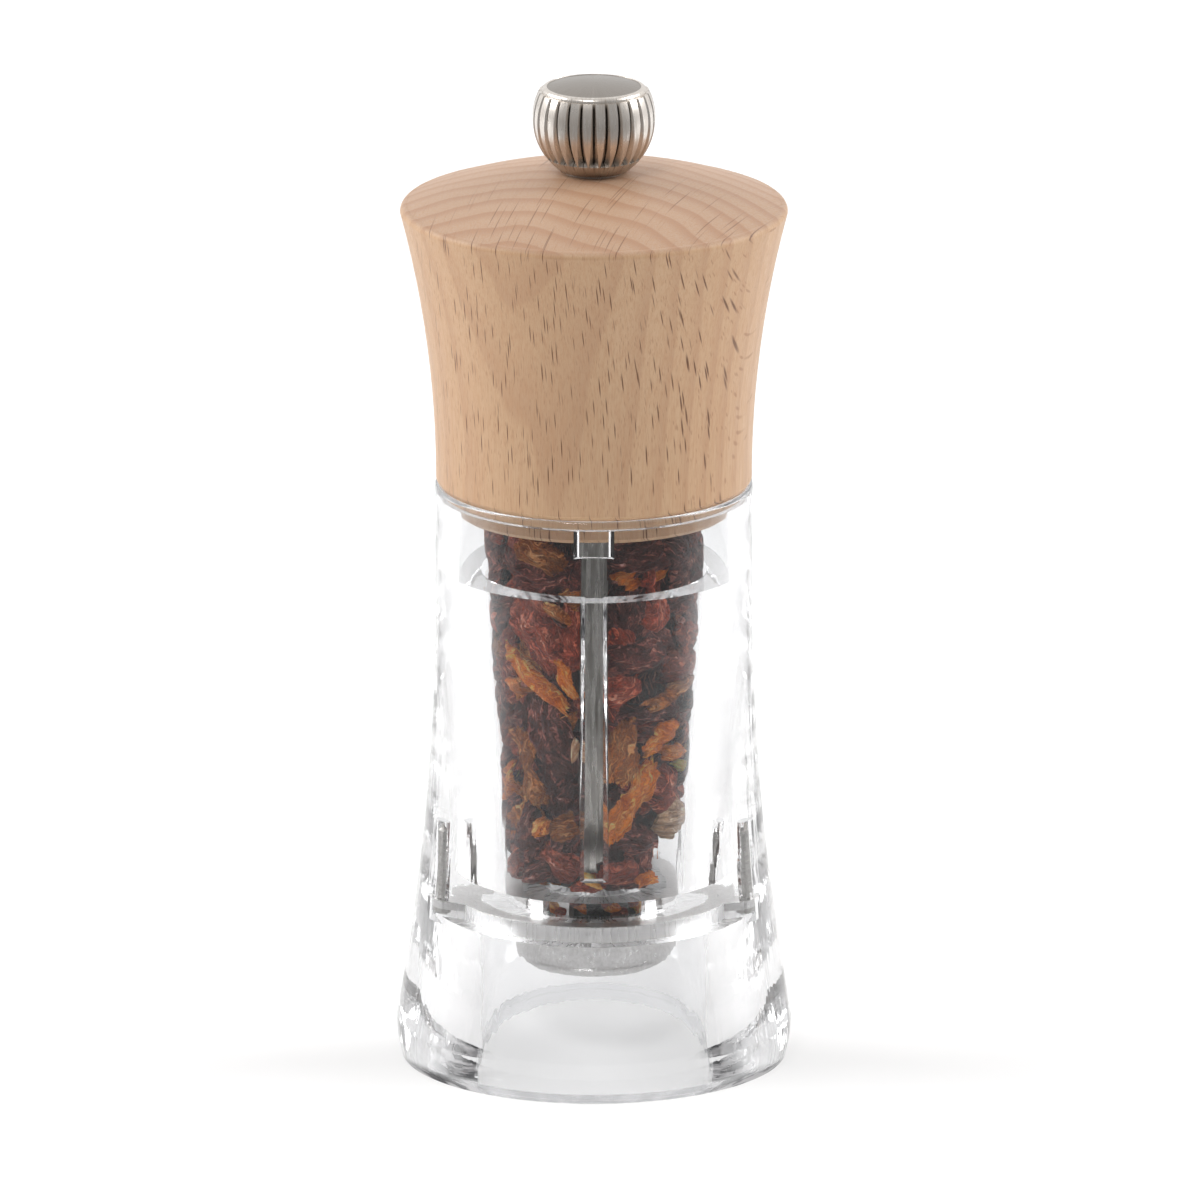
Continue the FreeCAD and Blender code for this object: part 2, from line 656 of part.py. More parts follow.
def make_spring():
    body = new_body("spring")
    low = f"{CONE_BOTTOM} + cone_web + spring_wire / 2 + push_play"
    high = f"{WASHER_TOP} - washer_thick - spring_wire / 2 - push_play"
    sketch = new_sketch(body, "Wire", "XZ_Plane")
    ring(sketch, "spring_radius", low, "spring_wire / 2")
    doc.recompute()
    coil = body.newObject("PartDesign::AdditiveHelix", "Coil")
    coil.Profile = (sketch, [""])
    coil.ReferenceAxis = (sketch, ["V_Axis"])
    coil.Mode = 2
    coil.setExpression("Turns", named("spring_turns"))
    coil.setExpression("Height", named(f"({high}) - ({low})"))
    doc.recompute()
    return body


def make_retaining_clip():
    body = new_body("retaining_clip")
    turned(body, [
        (0, CLIP_BOTTOM),
        ("clip_radius", CLIP_BOTTOM),
        ("clip_radius", CONE_BOTTOM),
        (0, CONE_BOTTOM),
    ])
    square_hole(body, "shaft_square + 2 * push_play", CLIP_BOTTOM, "clip_thick")
    return body


def make_spring_washer():
    body = new_body("spring_washer")
    low = f"{WASHER_TOP} - washer_thick"
    turned(body, [
        (0, low),
        ("washer_radius", low),
        ("washer_radius", WASHER_TOP),
        (0, WASHER_TOP),
    ])
    square_hole(body, "shaft_square + 2 * running_play", low, "washer_thick")
    return body


# Fixed mechanism ----------------------------------------------------------

def make_mechanism_collar():
    body = new_body("mechanism_collar")
    bend = f"({COLLAR_RADIUS} - collar_round)"
    bore = f"({COLLAR_RADIUS} - collar_wall)"
    turned(body, [
        ("collar_mouth", COLLAR_BOTTOM),
        (bend, COLLAR_BOTTOM, "collar_round", 1),
        (COLLAR_RADIUS, f"{COLLAR_BOTTOM} + collar_round"),
        (COLLAR_RADIUS, CEILING),
        (bore, CEILING),
        (bore, f"{COLLAR_BOTTOM} + collar_round", "collar_round - collar_wall", -1),
        (bend, f"{COLLAR_BOTTOM} + collar_wall"),
        ("collar_mouth", f"{COLLAR_BOTTOM} + collar_wall"),
    ])
    return body


def make_mounting_flange():
    body = new_body("mounting_flange")
    flange_plan(body, "Pad", FLANGE_BOTTOM, "flange_thick", "0", False)
    holes = new_sketch(body, "Holes", "XY_Plane", FLANGE_BOTTOM)
    ring(holes, SCREW_CIRCLE, 0, "screw_radius + screw_play")
    ring(holes, f"-{SCREW_CIRCLE}", 0, "screw_radius + screw_play")
    ring(holes, 0, 0, f"{COLLAR_RADIUS} + push_play")
    doc.recompute()
    extruded(body, "Pocket", holes, "flange_thick", reverse=True)
    return body


def make_lower_bridge():
    body = new_body("lower_bridge")
    sketch = new_sketch(body, "Bar", "XY_Plane", f"{COLLAR_BOTTOM} + collar_wall")
    half = "bridge_width / 2"
    turn = f"({COLLAR_RADIUS} - collar_round - bridge_inset)"
    reach = f"sqrt({turn} ^ 2 - ({half}) ^ 2)"
    outline(sketch, [
        (f"-({reach})", f"-({half})"),
        (reach, f"-({half})", turn, 1),
        (reach, half),
        (f"-({reach})", half, turn, 1),
    ])
    ring(sketch, 0, 0, "pin_radius + running_play")
    doc.recompute()
    extruded(body, "Pad", sketch, "bridge_thick")
    return body


def make_spring_bridge():
    body = new_body("spring_bridge")
    hub = new_sketch(body, "Hub", "XY_Plane", f"{STRAP_TOP} - strap_thick")
    ring(hub, 0, 0, "strap_hub_radius")
    doc.recompute()
    extruded(body, "Pad", hub, "strap_thick")
    strap = new_sketch(body, "Strap", "XZ_Plane")
    half = "strap_width / 2"
    reach = f"sqrt({RING_RADIUS} ^ 2 - ({half}) ^ 2)"
    outline(strap, [
        (0, f"{STRAP_TOP} - strap_thick"),
        (f"{STRAP_LEG} - strap_thick", f"{STRAP_TOP} - strap_thick"),
        (f"{STRAP_LEG} - strap_thick", RING_TOP),
        (reach, RING_TOP),
        (reach, f"{RING_TOP} + strap_thick"),
        (STRAP_LEG, f"{RING_TOP} + strap_thick"),
        (STRAP_LEG, STRAP_TOP),
        (0, STRAP_TOP),
    ])
    doc.recompute()
    pad = body.newObject("PartDesign::Pad", "StrapPad")
    pad.Profile = (strap, [""])
    pad.Midplane = True
    pad.setExpression("Length", named("strap_width"))
    doc.recompute()
    repeated(body, pad, strap, "strap_legs", axis="V_Axis")
    hole = new_sketch(body, "ShaftHole", "XY_Plane", f"{STRAP_TOP} - strap_thick")
    ring(hole, 0, 0, f"shaft_square * {HALF_DIAGONAL} + 4 * running_play")
    doc.recompute()
    extruded(body, "Pocket", hole, "strap_thick", reverse=True)
    return body


# Fasteners ----------------------------------------------------------------

def make_screw_pair(label, spacing, seat, length, head_thick):
    """Two equal pan-head screws that point up, one each side of the axis."""
    body = new_body(f"{label}_right")
    turned(body, [
        (0, f"{seat} - {head_thick}"),
        ("screw_head_radius - screw_head_chamfer", f"{seat} - {head_thick}"),
        ("screw_head_radius", f"{seat} - {head_thick} + screw_head_chamfer"),
        ("screw_head_radius", seat),
        ("screw_radius", seat),
        ("screw_radius", f"{seat} + {length} - screw_radius"),
        (0, f"{seat} + {length}"),
    ])
    slot = new_sketch(body, "Slot", "XY_Plane", f"{seat} - {head_thick}")
    outline(slot, [
        ("-screw_head_radius", "-drive_slot / 2"),
        ("screw_head_radius", "-drive_slot / 2"),
        ("screw_head_radius", "drive_slot / 2"),
        ("-screw_head_radius", "drive_slot / 2"),
    ])
    doc.recompute()
    extruded(body, "Pocket", slot, f"{head_thick} / 2", reverse=True)
    body.setExpression("Placement.Base.x", named(spacing))
    mirror = doc.addObject("Part::Mirroring", f"{label}_left")
    mirror.Source = body
    mirror.Normal = Vector(1, 0, 0)
    pair = doc.addObject("Part::Compound", label)
    pair.Label = label
    pair.Links = [body, mirror]
    doc.recompute()
    return pair


pieces = [
    make_acrylic_body(),
    make_mechanism_collar(),
    make_mounting_flange(),
    make_grinder_ring(),
    make_lower_bridge(),
    make_spring_bridge(),
    make_screw_pair("fixing_screws", SCREW_CIRCLE, FLANGE_BOTTOM, "screw_length",
                    "screw_head_thick"),
    make_spring_washer(),
    make_spring(),
    make_drive_shaft(),
    make_grinding_cone(),
    make_retaining_clip(),
    make_wood_head(),
    make_drive_plate(),
    make_screw_pair("plate_screws", "plate_screw_circle", SPIGOT_BOTTOM, "plate_screw_length",
                    "plate_head_thick"),
    make_knob(),
    make_knob_insert(),
]

doc.recompute()
for item in doc.Objects:
    if "Invalid" in item.State or "Error" in item.State:
        raise RuntimeError(f"{item.Label} did not build: {item.State}")
for piece in pieces:
    if piece.Shape.isNull() or not piece.Shape.isValid():
        raise RuntimeError(f"{piece.Label} has no valid shape")
for piece in pieces:
    piece.Shape.exportStep(f"parts/{piece.Label}.step")
    box = piece.Shape.optimalBoundingBox()
    print(f"{piece.Label}: {len(piece.Shape.Solids)} solid(s), {piece.Shape.Volume:.1f} mm3,"
          f" z {box.ZMin:.2f} to {box.ZMax:.2f}, x {box.XMin:.2f} to {box.XMax:.2f}")
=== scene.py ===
import math

import bmesh
import bpy
import numpy as np
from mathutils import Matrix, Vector


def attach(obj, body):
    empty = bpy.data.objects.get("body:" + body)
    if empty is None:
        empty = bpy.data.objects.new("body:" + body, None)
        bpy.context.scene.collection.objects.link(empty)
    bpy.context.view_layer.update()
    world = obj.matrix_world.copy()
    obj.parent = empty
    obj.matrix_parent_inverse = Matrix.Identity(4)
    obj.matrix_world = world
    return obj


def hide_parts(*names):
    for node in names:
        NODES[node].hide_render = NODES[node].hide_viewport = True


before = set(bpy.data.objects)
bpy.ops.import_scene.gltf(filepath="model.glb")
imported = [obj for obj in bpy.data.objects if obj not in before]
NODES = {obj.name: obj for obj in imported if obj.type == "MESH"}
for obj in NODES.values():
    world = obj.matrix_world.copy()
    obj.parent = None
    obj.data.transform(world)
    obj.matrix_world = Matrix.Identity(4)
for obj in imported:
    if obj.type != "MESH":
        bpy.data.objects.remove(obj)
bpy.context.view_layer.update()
MM = 0.001
rng = np.random.default_rng(7)
scene = bpy.context.scene

# Radii and heights of the clear body, in mm from the axis and over the table
FOOT_RADIUS = 26.9
CREASE_RADIUS, CREASE_Z = 27.36, 2.1    # small crease over the foot's edge
SKIRT_RADIUS, SKIRT_Z = 27.63, 5.5      # widest place
NECK_RADIUS, NECK_Z = 22.15, 66.0       # where the flare ends
RIM_Z, RIM_ROUNDING = 82.6, 0.5
SEAT_RADIUS, SEAT_Z = 21.55, 81.2       # the step that the head's edge stands over
SPIGOT_Z = 78.7                         # underside of the head
THROAT_RADIUS, LEDGE_Z = 19.0, 70.4     # throat, and the ledge where it starts
CHAMBER_TOP, CHAMBER_LOW = 15.8, 12.8   # radii of the tapering chamber
FLOOR_Z = 25.6                          # floor of the chamber
MOUTH_RADIUS = 7.7                      # hole in that floor
POCKET_RADIUS, POCKET_Z = 13.4, 22.2    # ceiling of the flange's pocket
RECESS_RADIUS, RECESS_Z = 16.3, 20.0    # ceiling of the recess under the body
SCREW_AT, SCREW_RADIUS, SCREW_TOP = 15.7, 1.1, 33.6
LUG_RADIUS = 1.95                       # round end of the flange's lugs
GROOVE_WIDTH, GROOVE_LOW = 2.3, FLOOR_Z + 3.8
NOTCH_WIDTH, NOTCH_LOW = 4.0, 77.3
OVER = 1.0                              # how far a cut goes past the face it opens
AIR = 0.02                              # film between the clear body and a piece on it

# The knob, in mm
FLUTES = 28
FLUTE_TOP, FLUTE_LOW = 138.0, 130.0
DISC_RADIUS, DISC_Z = 6.55, 139.0


# Shader helpers -------------------------------------------------------------

class Tree:
    """Thin wrapper that adds and links shader nodes of one material."""

    def __init__(self, name):
        self.mat = bpy.data.materials.new(name)
        self.mat.use_nodes = True
        self.nt = self.mat.node_tree
        self.bsdf = self.nt.nodes["Principled BSDF"]
        self.out = self.nt.nodes["Material Output"]

    def add(self, kind, **settings):
        node = self.nt.nodes.new("ShaderNode" + kind)
        for key, val in settings.items():
            setattr(node, key, val)
        return node

    def put(self, target, source):
        if isinstance(source, bpy.types.NodeSocket):
            self.nt.links.new(source, target)
        else:
            target.default_value = source

    def math(self, op, a, b=0.0):
        node = self.add("Math", operation=op)
        for i, v in enumerate((a, b)):
            self.put(node.inputs[i], v)
        return node.outputs[0]

    def plus(self, a, b):
        return self.math("ADD", a, b)

    def minus(self, a, b):
        return self.math("SUBTRACT", a, b)

    def mul(self, a, b):
        return self.math("MULTIPLY", a, b)

    def over(self, a, b):
        return self.math("DIVIDE", a, b)

    def absolute(self, a):
        return self.math("ABSOLUTE", a)

    def angle(self, x, y):
        return self.math("ARCTAN2", y, x)

    def distance(self, x, y):
        return self.math("SQRT", self.plus(self.mul(x, x), self.mul(y, y)))

    def vmath(self, op, a, b=(0, 0, 0), scale=None):
        node = self.add("VectorMath", operation=op)
        self.put(node.inputs[0], a)
        self.put(node.inputs[1], b)
        if scale is not None:
            self.put(node.inputs["Scale"], scale)
        return node.outputs[0]

    def coords(self, scale=1.0):
        """The object's own coordinates in metres, times a scale."""
        return self.vmath("SCALE", self.add("TexCoord").outputs["Object"], scale=scale)

    def mm(self):
        """x, y and z in the object's own coordinates, in mm."""
        return self.xyz(self.coords(1000.0))

    def xyz(self, vector):
        node = self.add("SeparateXYZ")
        self.put(node.inputs[0], vector)
        return node.outputs[0], node.outputs[1], node.outputs[2]

    def join(self, x, y, z):
        node = self.add("CombineXYZ")
        for i, v in enumerate((x, y, z)):
            self.put(node.inputs[i], v)
        return node.outputs[0]

    def noise(self, vector, scale, detail=2.0, rough=0.5):
        node = self.add("TexNoise")
        self.put(node.inputs["Vector"], vector)
        node.inputs["Scale"].default_value = scale
        node.inputs["Detail"].default_value = detail
        node.inputs["Roughness"].default_value = rough
        return node.outputs["Fac"]

    def voronoi(self, vector, scale):
        node = self.add("TexVoronoi")
        self.put(node.inputs["Vector"], vector)
        node.inputs["Scale"].default_value = scale
        return node.outputs["Distance"]

    def ramp(self, fac, stops):
        node = self.add("ValToRGB")
        self.put(node.inputs[0], fac)
        elements = node.color_ramp.elements
        while len(elements) < len(stops):
            elements.new(0.5)
        for element, (pos, colour) in zip(elements, stops):
            element.position = pos
            element.color = (*colour, 1)
        return node.outputs[0]

    def range(self, fac, a, b, c=0.0, d=1.0, smooth=False):
        """Clamped map of fac from a..b to c..d."""
        node = self.add("MapRange", clamp=True)
        if smooth:
            node.interpolation_type = "SMOOTHSTEP"
        for i, v in enumerate((fac, a, b, c, d)):
            self.put(node.inputs[i], v)
        return node.outputs[0]

    def mix(self, fac, a, b, blend="MIX"):
        node = self.add("Mix", data_type="RGBA", blend_type=blend)
        self.put(node.inputs[0], fac)
        for i, v in ((6, a), (7, b)):
            self.put(node.inputs[i], (*v, 1) if isinstance(v, tuple) and len(v) == 3 else v)
        return node.outputs[2]

    def blend(self, fac, first, second):
        node = self.add("MixShader")
        for i, v in enumerate((fac, first, second)):
            self.put(node.inputs[i], v)
        return node.outputs[0]

    def bump(self, height, strength, distance):
        node = self.add("Bump")
        self.put(node.inputs["Height"], height)
        node.inputs["Strength"].default_value = strength
        node.inputs["Distance"].default_value = distance
        self.put(self.bsdf.inputs["Normal"], node.outputs[0])

    def base(self, colour, rough, metallic=0.0, **more):
        self.put(self.bsdf.inputs["Base Color"], (*colour, 1) if isinstance(colour, tuple) else colour)
        self.put(self.bsdf.inputs["Roughness"], rough)
        self.bsdf.inputs["Metallic"].default_value = metallic
        for key, val in more.items():
            self.put(self.bsdf.inputs[key.replace("_", " ")], val)
        return self.mat


def srgb(r, g, b):
    """Linear colour of an 8-bit display colour."""
    return tuple((v / 255 / 12.92) if v <= 10 else ((v / 255 + 0.055) / 1.055) ** 2.4 for v in (r, g, b))


# Materials --------------------------------------------------------------------

def clear_acrylic():
    """Clear moulded acrylic, with drawn marks up the skirt.

    Tool marks lie on the ceilings below, thread marks in the screw holes, and
    the flat foot is scuffed, with painted contact shade on it. Shadow and diffuse
    rays pass straight, weakened at each surface, so what stands inside is lit once.
    """
    t = Tree("clear_acrylic_moulded")
    x, y, z = t.mm()
    radius = t.distance(x, y)
    turn = t.mul(t.angle(x, y), 10.0)
    tool = t.noise(t.join(t.mul(turn, 3.0), t.mul(radius, 0.3), 0.0), 1.0, 3.0, 0.6)
    low = t.mul(t.math("GREATER_THAN", z, RECESS_Z - 0.1), t.math("LESS_THAN", z, POCKET_Z + 0.3))
    ceiling = t.mul(low, t.math("LESS_THAN", radius, RECESS_RADIUS - 0.1))
    t.base((0.868, 0.871, 0.878), t.mul(ceiling, t.range(tool, 0.3, 0.7, 0.15, 0.50)), IOR=1.49,
           Transmission_Weight=1.0)

    flow = t.noise(t.join(turn, t.mul(z, 0.035), 0.0), 0.9, 2.0, 0.5)
    outside = t.range(radius, NECK_RADIUS + 0.15, NECK_RADIUS + 1.25)
    thread = t.math("SINE", t.mul(z, 6.6))
    hole = t.mul(t.range(t.absolute(t.minus(radius, SCREW_AT)), 1.2, 1.3, 1.0, 0.0),
                 t.math("LESS_THAN", t.absolute(y), 1.3))
    hole = t.mul(hole, t.math("LESS_THAN", t.absolute(t.minus(z, 28.2)), 5.4))
    t.bump(t.plus(t.mul(flow, outside), t.mul(t.mul(thread, hole), 0.25)), 0.14, 0.0008)

    # the flat foot is scuffed and carries painted contact shade: a near-black diffuse, mottled, most at its front
    # corners
    scuff_and_shade = t.noise(t.join(t.mul(x, 0.30), t.mul(y, 0.06), 0.0), 1.0, 3.0, 0.6)
    worn_and_shaded = t.add("BsdfDiffuse")
    t.put(worn_and_shaded.inputs[0], t.mix(t.range(scuff_and_shade, 0.46, 0.56), (0.012, 0.012, 0.016), (0.50, 0.49, 0.50)))
    corner = t.mul(t.range(t.absolute(x), 13.0, 19.0, 0.25, 1.0), t.range(y, -6.0, 4.0, 1.0, 0.18))
    flat = t.math("LESS_THAN", z, 0.01)
    foot = t.blend(t.mul(flat, t.mul(corner, 0.95)), t.bsdf.outputs[0], worn_and_shaded.outputs[0])

    see = t.add("BsdfTransparent")
    see.inputs[0].default_value = (0.91, 0.91, 0.91, 1)
    path = t.add("LightPath")
    straight = t.math("MAXIMUM", path.outputs["Is Shadow Ray"], path.outputs["Is Diffuse Ray"])
    t.put(t.out.inputs[0], t.blend(straight, foot, see.outputs[0]))
    return t.mat


def beech():
    """Solid beech: rings round a pith beside the head, rays that run out from it."""
    t = Tree("beech_turned")
    x, y, z = t.mm()
    # 1 on the end grain of the crown, 0 on the side
    end = t.range(t.xyz(t.add("NewGeometry").outputs["True Normal"])[2], 0.45, 0.9)
    pith_x, pith_y = -27.0, -70.0
    dx, dy = t.minus(x, pith_x), t.minus(y, pith_y)
    rho = t.distance(dx, dy)
    phi = t.mul(t.angle(dx, dy), 60.0)

    def field(a, b, c, detail=2.0, rough=0.5):
        """Noise stretched out from the pith, round it and up the trunk."""
        return t.noise(t.join(t.mul(rho, a), t.mul(phi, b), t.mul(z, c)), 1.0, detail, rough)

    def at_end(side, crown):
        return t.range(end, 0.0, 1.0, side, crown)

    wander = field(0.03, 0.05, 0.012)
    # growth rings: late wood is a narrow darker line at the end of each ring
    ring = t.math("FRACT", t.over(t.plus(rho, t.mul(wander, 9.0)), 3.9))
    late = t.mul(t.range(ring, 0.35, 0.93, smooth=True), t.range(ring, 0.93, 1.0, 1.0, 0.0))
    broad = field(0.10, 0.05, 0.010, 3.0)
    fine = field(3.4, 3.4, 0.16, 3.0, 0.6)
    pores = field(7.0, 7.0, 0.6, 1.0, 0.6)
    tone = t.mix(broad, srgb(210, 176, 142), srgb(190, 152, 116))
    tone = t.mix(t.mul(end, 0.75), tone, srgb(184, 154, 132))
    tone = t.mix(t.mul(late, at_end(0.26, 0.55)), tone, srgb(164, 118, 88))
    tone = t.mix(t.range(fine, 0.40, 0.72, 0.0, 0.50), tone, srgb(188, 142, 104))
    tone = t.mix(t.range(pores, 0.52, 0.75, 0.0, 0.30), tone, srgb(160, 112, 78))

    # the rays run out from the pith almost side by side, leaning a little
    lean = t.plus(t.mul(z, 0.035), t.mul(wander, 2.5))
    along = t.plus(t.mul(x, 0.30), y)
    fan = t.plus(1.0, t.mul(along, 0.004))
    aside = t.plus(t.over(t.plus(x, t.mul(y, -0.30)), fan), lean)

    def rays(across, tall, deep, size, seed):
        """Flecks of one size, in mm, on a grid of cells that the seed shifts."""
        cell = t.join(t.over(t.plus(aside, seed), across), t.over(along, deep), t.over(z, tall))
        return t.range(t.voronoi(cell, 1.0), size * 0.35, size, 1.0, 0.0, smooth=True)

    bold = t.math("MAXIMUM", rays(0.60, 9.0, 40.0, 0.215, 3.1), rays(0.50, 7.6, 33.0, 0.220, 40.3))
    small = t.math("MAXIMUM", rays(0.36, 3.0, 26.0, 0.200, 17.7), rays(0.33, 2.6, 22.0, 0.200, 61.9))
    # on the two sides cut along the rays they show broad and faint
    flank = t.over(t.absolute(x), t.distance(x, y))
    bold = t.mul(bold, t.range(flank, 0.80, 0.96, 1.0, 0.25))
    tone = t.mix(t.mul(bold, at_end(0.92, 0.60)), tone, srgb(98, 58, 32))
    tone = t.mix(t.mul(small, at_end(0.48, 0.25)), tone, srgb(146, 98, 62))
    t.base(tone, t.range(fine, 0.2, 0.8, 0.40, 0.55), Specular_IOR_Level=0.5, Sheen_Weight=0.05,
           Sheen_Roughness=0.4)
    t.bump(t.minus(fine, t.mul(bold, 0.6)), 0.16, 0.0003)
    return t.mat


def nickel():
    """Satin nickel, brushed up and down, with tarnish and painted shade in the knob's grooves, and painted shade on
    its underside and top disc.
    """
    t = Tree("satin_nickel_brushed")
    x, y, z = t.mm()
    around = t.angle(x, y)
    brush = t.noise(t.join(t.mul(around, 32.0), t.mul(z, 0.35), 0.0), 1.0, 3.0, 0.6)
    patch = t.noise(t.join(t.mul(x, 0.2), t.mul(y, 0.2), t.mul(z, 0.2)), 1.0, 2.0)
    tone = t.mix(t.range(brush, 0.3, 0.7), srgb(238, 233, 227), srgb(205, 197, 188))
    tone = t.mix(t.mul(patch, 0.3), tone, srgb(190, 176, 164))
    # tarnish and painted shade: the knob's grooves are darkened along their middles
    groove = t.range(t.math("COSINE", t.mul(around, FLUTES)), 0.84, 1.0)
    groove = t.mul(groove, t.range(z, FLUTE_TOP, FLUTE_TOP + 0.6, 1.0, 0.0))
    groove = t.mul(groove, t.range(z, FLUTE_LOW - 1.8, FLUTE_LOW))
    tone = t.mix(groove, tone, srgb(60, 53, 48))
    # painted shade: the underside is darker, and so is the disc inside its rolled ring
    tone = t.mix(t.range(z, 123.0, 133.0, 0.75, 0.0), tone, srgb(118, 106, 96))
    top_disc_shade = t.mul(t.math("LESS_THAN", t.distance(x, y), DISC_RADIUS), t.math("GREATER_THAN", z, DISC_Z))
    tone = t.mix(t.mul(top_disc_shade, 0.85), tone, srgb(132, 125, 118))
    t.base(tone, t.range(brush, 0.3, 0.7, 0.24, 0.38), 1.0)
    t.bump(brush, 0.10, 0.0001)
    return t.mat


def metal(name, light, dark, smooth, rough, grain=3.0, stretch=(1, 1, 1)):
    """Worked metal between two display colours and two roughnesses; grain is marks per mm."""
    t = Tree(name)
    marks = t.noise(t.vmath("MULTIPLY", t.coords(1000.0), stretch), grain, 3.0, 0.6)
    blot = t.noise(t.coords(120.0), 1.0, 2.0)
    tone = t.mix(t.range(marks, 0.3, 0.7), srgb(*light), srgb(*dark))
    tone = t.mix(t.mul(blot, 0.35), tone, srgb(*dark))
    t.base(tone, t.range(marks, 0.3, 0.7, smooth, rough), 1.0)
    t.bump(marks, 0.12, 0.0001)
    return t.mat


# shade that each piece of chilli has of its own, multiplied over its skin
OWN_SHADES = [(0.30, (0.78, 0.74, 0.73)), (0.5, (1.55, 1.52, 1.50)), (0.70, (2.4, 2.2, 2.05))]
PALEST = (0.90, 0.90, 0.90)


def pod(name, stops, rough=0.36, fibre=1.0, lines=0.0):
    """Dried chilli skin: leathery, wrinkled along the pod, with painted shade in the folds.

    The pattern lies in each piece's own map, u along the pod, in mm. The
    stops go from the painted shade of the folds to the light grit, whose
    pale flecks are partly painted highlights.
    """
    t = Tree(name)
    stops = [(place, srgb(*colour)) for place, colour in stops]
    u, v, _ = t.xyz(t.add("UVMap", uv_map="skin").outputs[0])
    warp = t.noise(t.join(t.mul(u, 0.35), t.mul(v, 0.5), 3.0), 1.0, 3.0, 0.6)
    v2 = t.plus(v, t.mul(warp, 3.0))
    big = t.noise(t.join(t.mul(u, 0.30), t.mul(v2, 0.60), 0.0), 1.0, 3.0, 0.6)
    vein = t.noise(t.join(t.mul(u, 0.42 * fibre), t.mul(v2, 2.0), 5.0), 1.0, 4.0, 0.65)
    fold_and_shade = t.minus(1.0, t.mul(t.absolute(t.minus(vein, 0.5)), 5.0))
    grit_and_glint = t.noise(t.join(t.mul(u, 3.2), t.mul(v, 4.5), 9.0), 1.0, 3.0, 0.7)
    stripe = t.mul(t.math("SINE", t.mul(t.plus(v2, t.mul(u, 0.2)), 7.5)), lines)
    mixed = t.plus(t.plus(t.mul(big, 0.40), t.mul(vein, 0.35)), t.mul(grit_and_glint, 0.25))
    tone = t.ramp(t.plus(mixed, t.mul(stripe, 0.05)), stops)
    # painted shade: the folds are darkened towards the darkest stop
    tone = t.mix(t.range(fold_and_shade, 0.40, 1.0, 0.0, 0.8), tone, stops[0][1])
    # light grit and painted highlights: pale flecks mixed towards the palest stop
    tone = t.mix(t.range(grit_and_glint, 0.66, 0.74, 0.0, 0.45), tone, stops[-1][1])
    # the pieces lie far apart in the map, so a slow noise tells them apart
    own = t.noise(t.join(t.mul(u, 0.03), t.mul(v, 0.03), 1.0), 1.0, 1.0)
    tone = t.mix(1.0, tone, t.ramp(own, OWN_SHADES), "MULTIPLY")
    tone = t.mix(1.0, tone, PALEST, "DARKEN")
    t.base(tone, t.range(grit_and_glint, 0.35, 0.65, rough - 0.08, rough + 0.22), Specular_IOR_Level=0.12)
    height = t.minus(t.plus(big, t.mul(grit_and_glint, 0.45)), t.mul(fold_and_shade, 0.28))
    t.bump(t.plus(height, t.mul(stripe, 0.25)), 1.0, 0.0010)
    return t.mat


ACRYLIC = clear_acrylic()
BEECH = beech()
NICKEL = nickel()
SHAFT = metal("drawn_steel", (232, 229, 224), (150, 145, 139), 0.20, 0.36, 2.4, (1, 1, 0.05))
PRESSED = metal("pressed_steel_bright", (222, 221, 220), (190, 188, 187), 0.26, 0.38, 3.0, (1, 1, 0.5))
HARDENED = metal("hardened_steel_dark", (120, 116, 112), (62, 58, 56), 0.35, 0.55, 3.4)
SCREW = metal("plated_screw_steel", (196, 194, 190), (132, 128, 124), 0.25, 0.42)
SPRING = metal("spring_steel_bright", (190, 188, 186), (126, 122, 118), 0.25, 0.40)
BRASS = metal("insert_brass", (206, 170, 96), (150, 112, 56), 0.28, 0.42, 2.6)
DARK, MAROON, BROWN, ORANGE = range(4)  # places of the first kinds in PODS; a pale one and seeds follow
PODS = [
    pod("pod_dark", [(0.38, (22, 8, 9)), (0.48, (82, 38, 34)), (0.58, (150, 92, 82)), (0.68, (222, 196, 192))]),
    pod("pod_maroon", [(0.38, (40, 12, 9)), (0.48, (140, 56, 38)), (0.58, (190, 110, 88)), (0.68, (234, 194, 178))]),
    pod("pod_brown", [(0.38, (58, 26, 10)), (0.48, (172, 98, 46)), (0.58, (212, 150, 98)), (0.68, (242, 206, 164))],
        rough=0.45, fibre=0.6),
    pod("pod_orange", [(0.36, (112, 42, 8)), (0.47, (224, 124, 40)), (0.58, (242, 172, 100)), (0.68, (252, 222, 174))],
        rough=0.45, fibre=0.6),
    pod("pod_pale", [(0.36, (112, 82, 64)), (0.48, (182, 148, 116)), (0.58, (220, 194, 166)), (0.68, (248, 236, 224))],
        rough=0.45, fibre=0.5, lines=1.0),
    pod("seed_yellow", [(0.35, (210, 136, 50)), (0.5, (240, 184, 90)), (0.68, (250, 226, 164))], rough=0.32),
]


def paint(node, material):
    slots = NODES[node].data.materials
    for i in range(len(slots)):
        slots[i] = material
    if not len(slots):
        slots.append(material)


for name, material in {
    "acrylic_body": ACRYLIC, "wood_head": BEECH, "adjusting_knob": NICKEL, "knob_insert": BRASS,
    "drive_shaft": SHAFT, "mechanism_collar": PRESSED, "mounting_flange": PRESSED, "lower_bridge": PRESSED,
    "spring_bridge": PRESSED, "spring_washer": PRESSED, "drive_plate": PRESSED, "grinder_ring": HARDENED,
    "grinding_cone": HARDENED, "retaining_clip": SPRING, "spring": SPRING, "fixing_screws": SCREW,
    "plate_screws": SCREW,
}.items():
    paint(name, material)


# Clear body at optical resolution --------------------------------------------------

TURN_STEPS = 288                        # facets round the body
SMOOTH_ANGLE = math.radians(24)         # edges sharper than this stay sharp


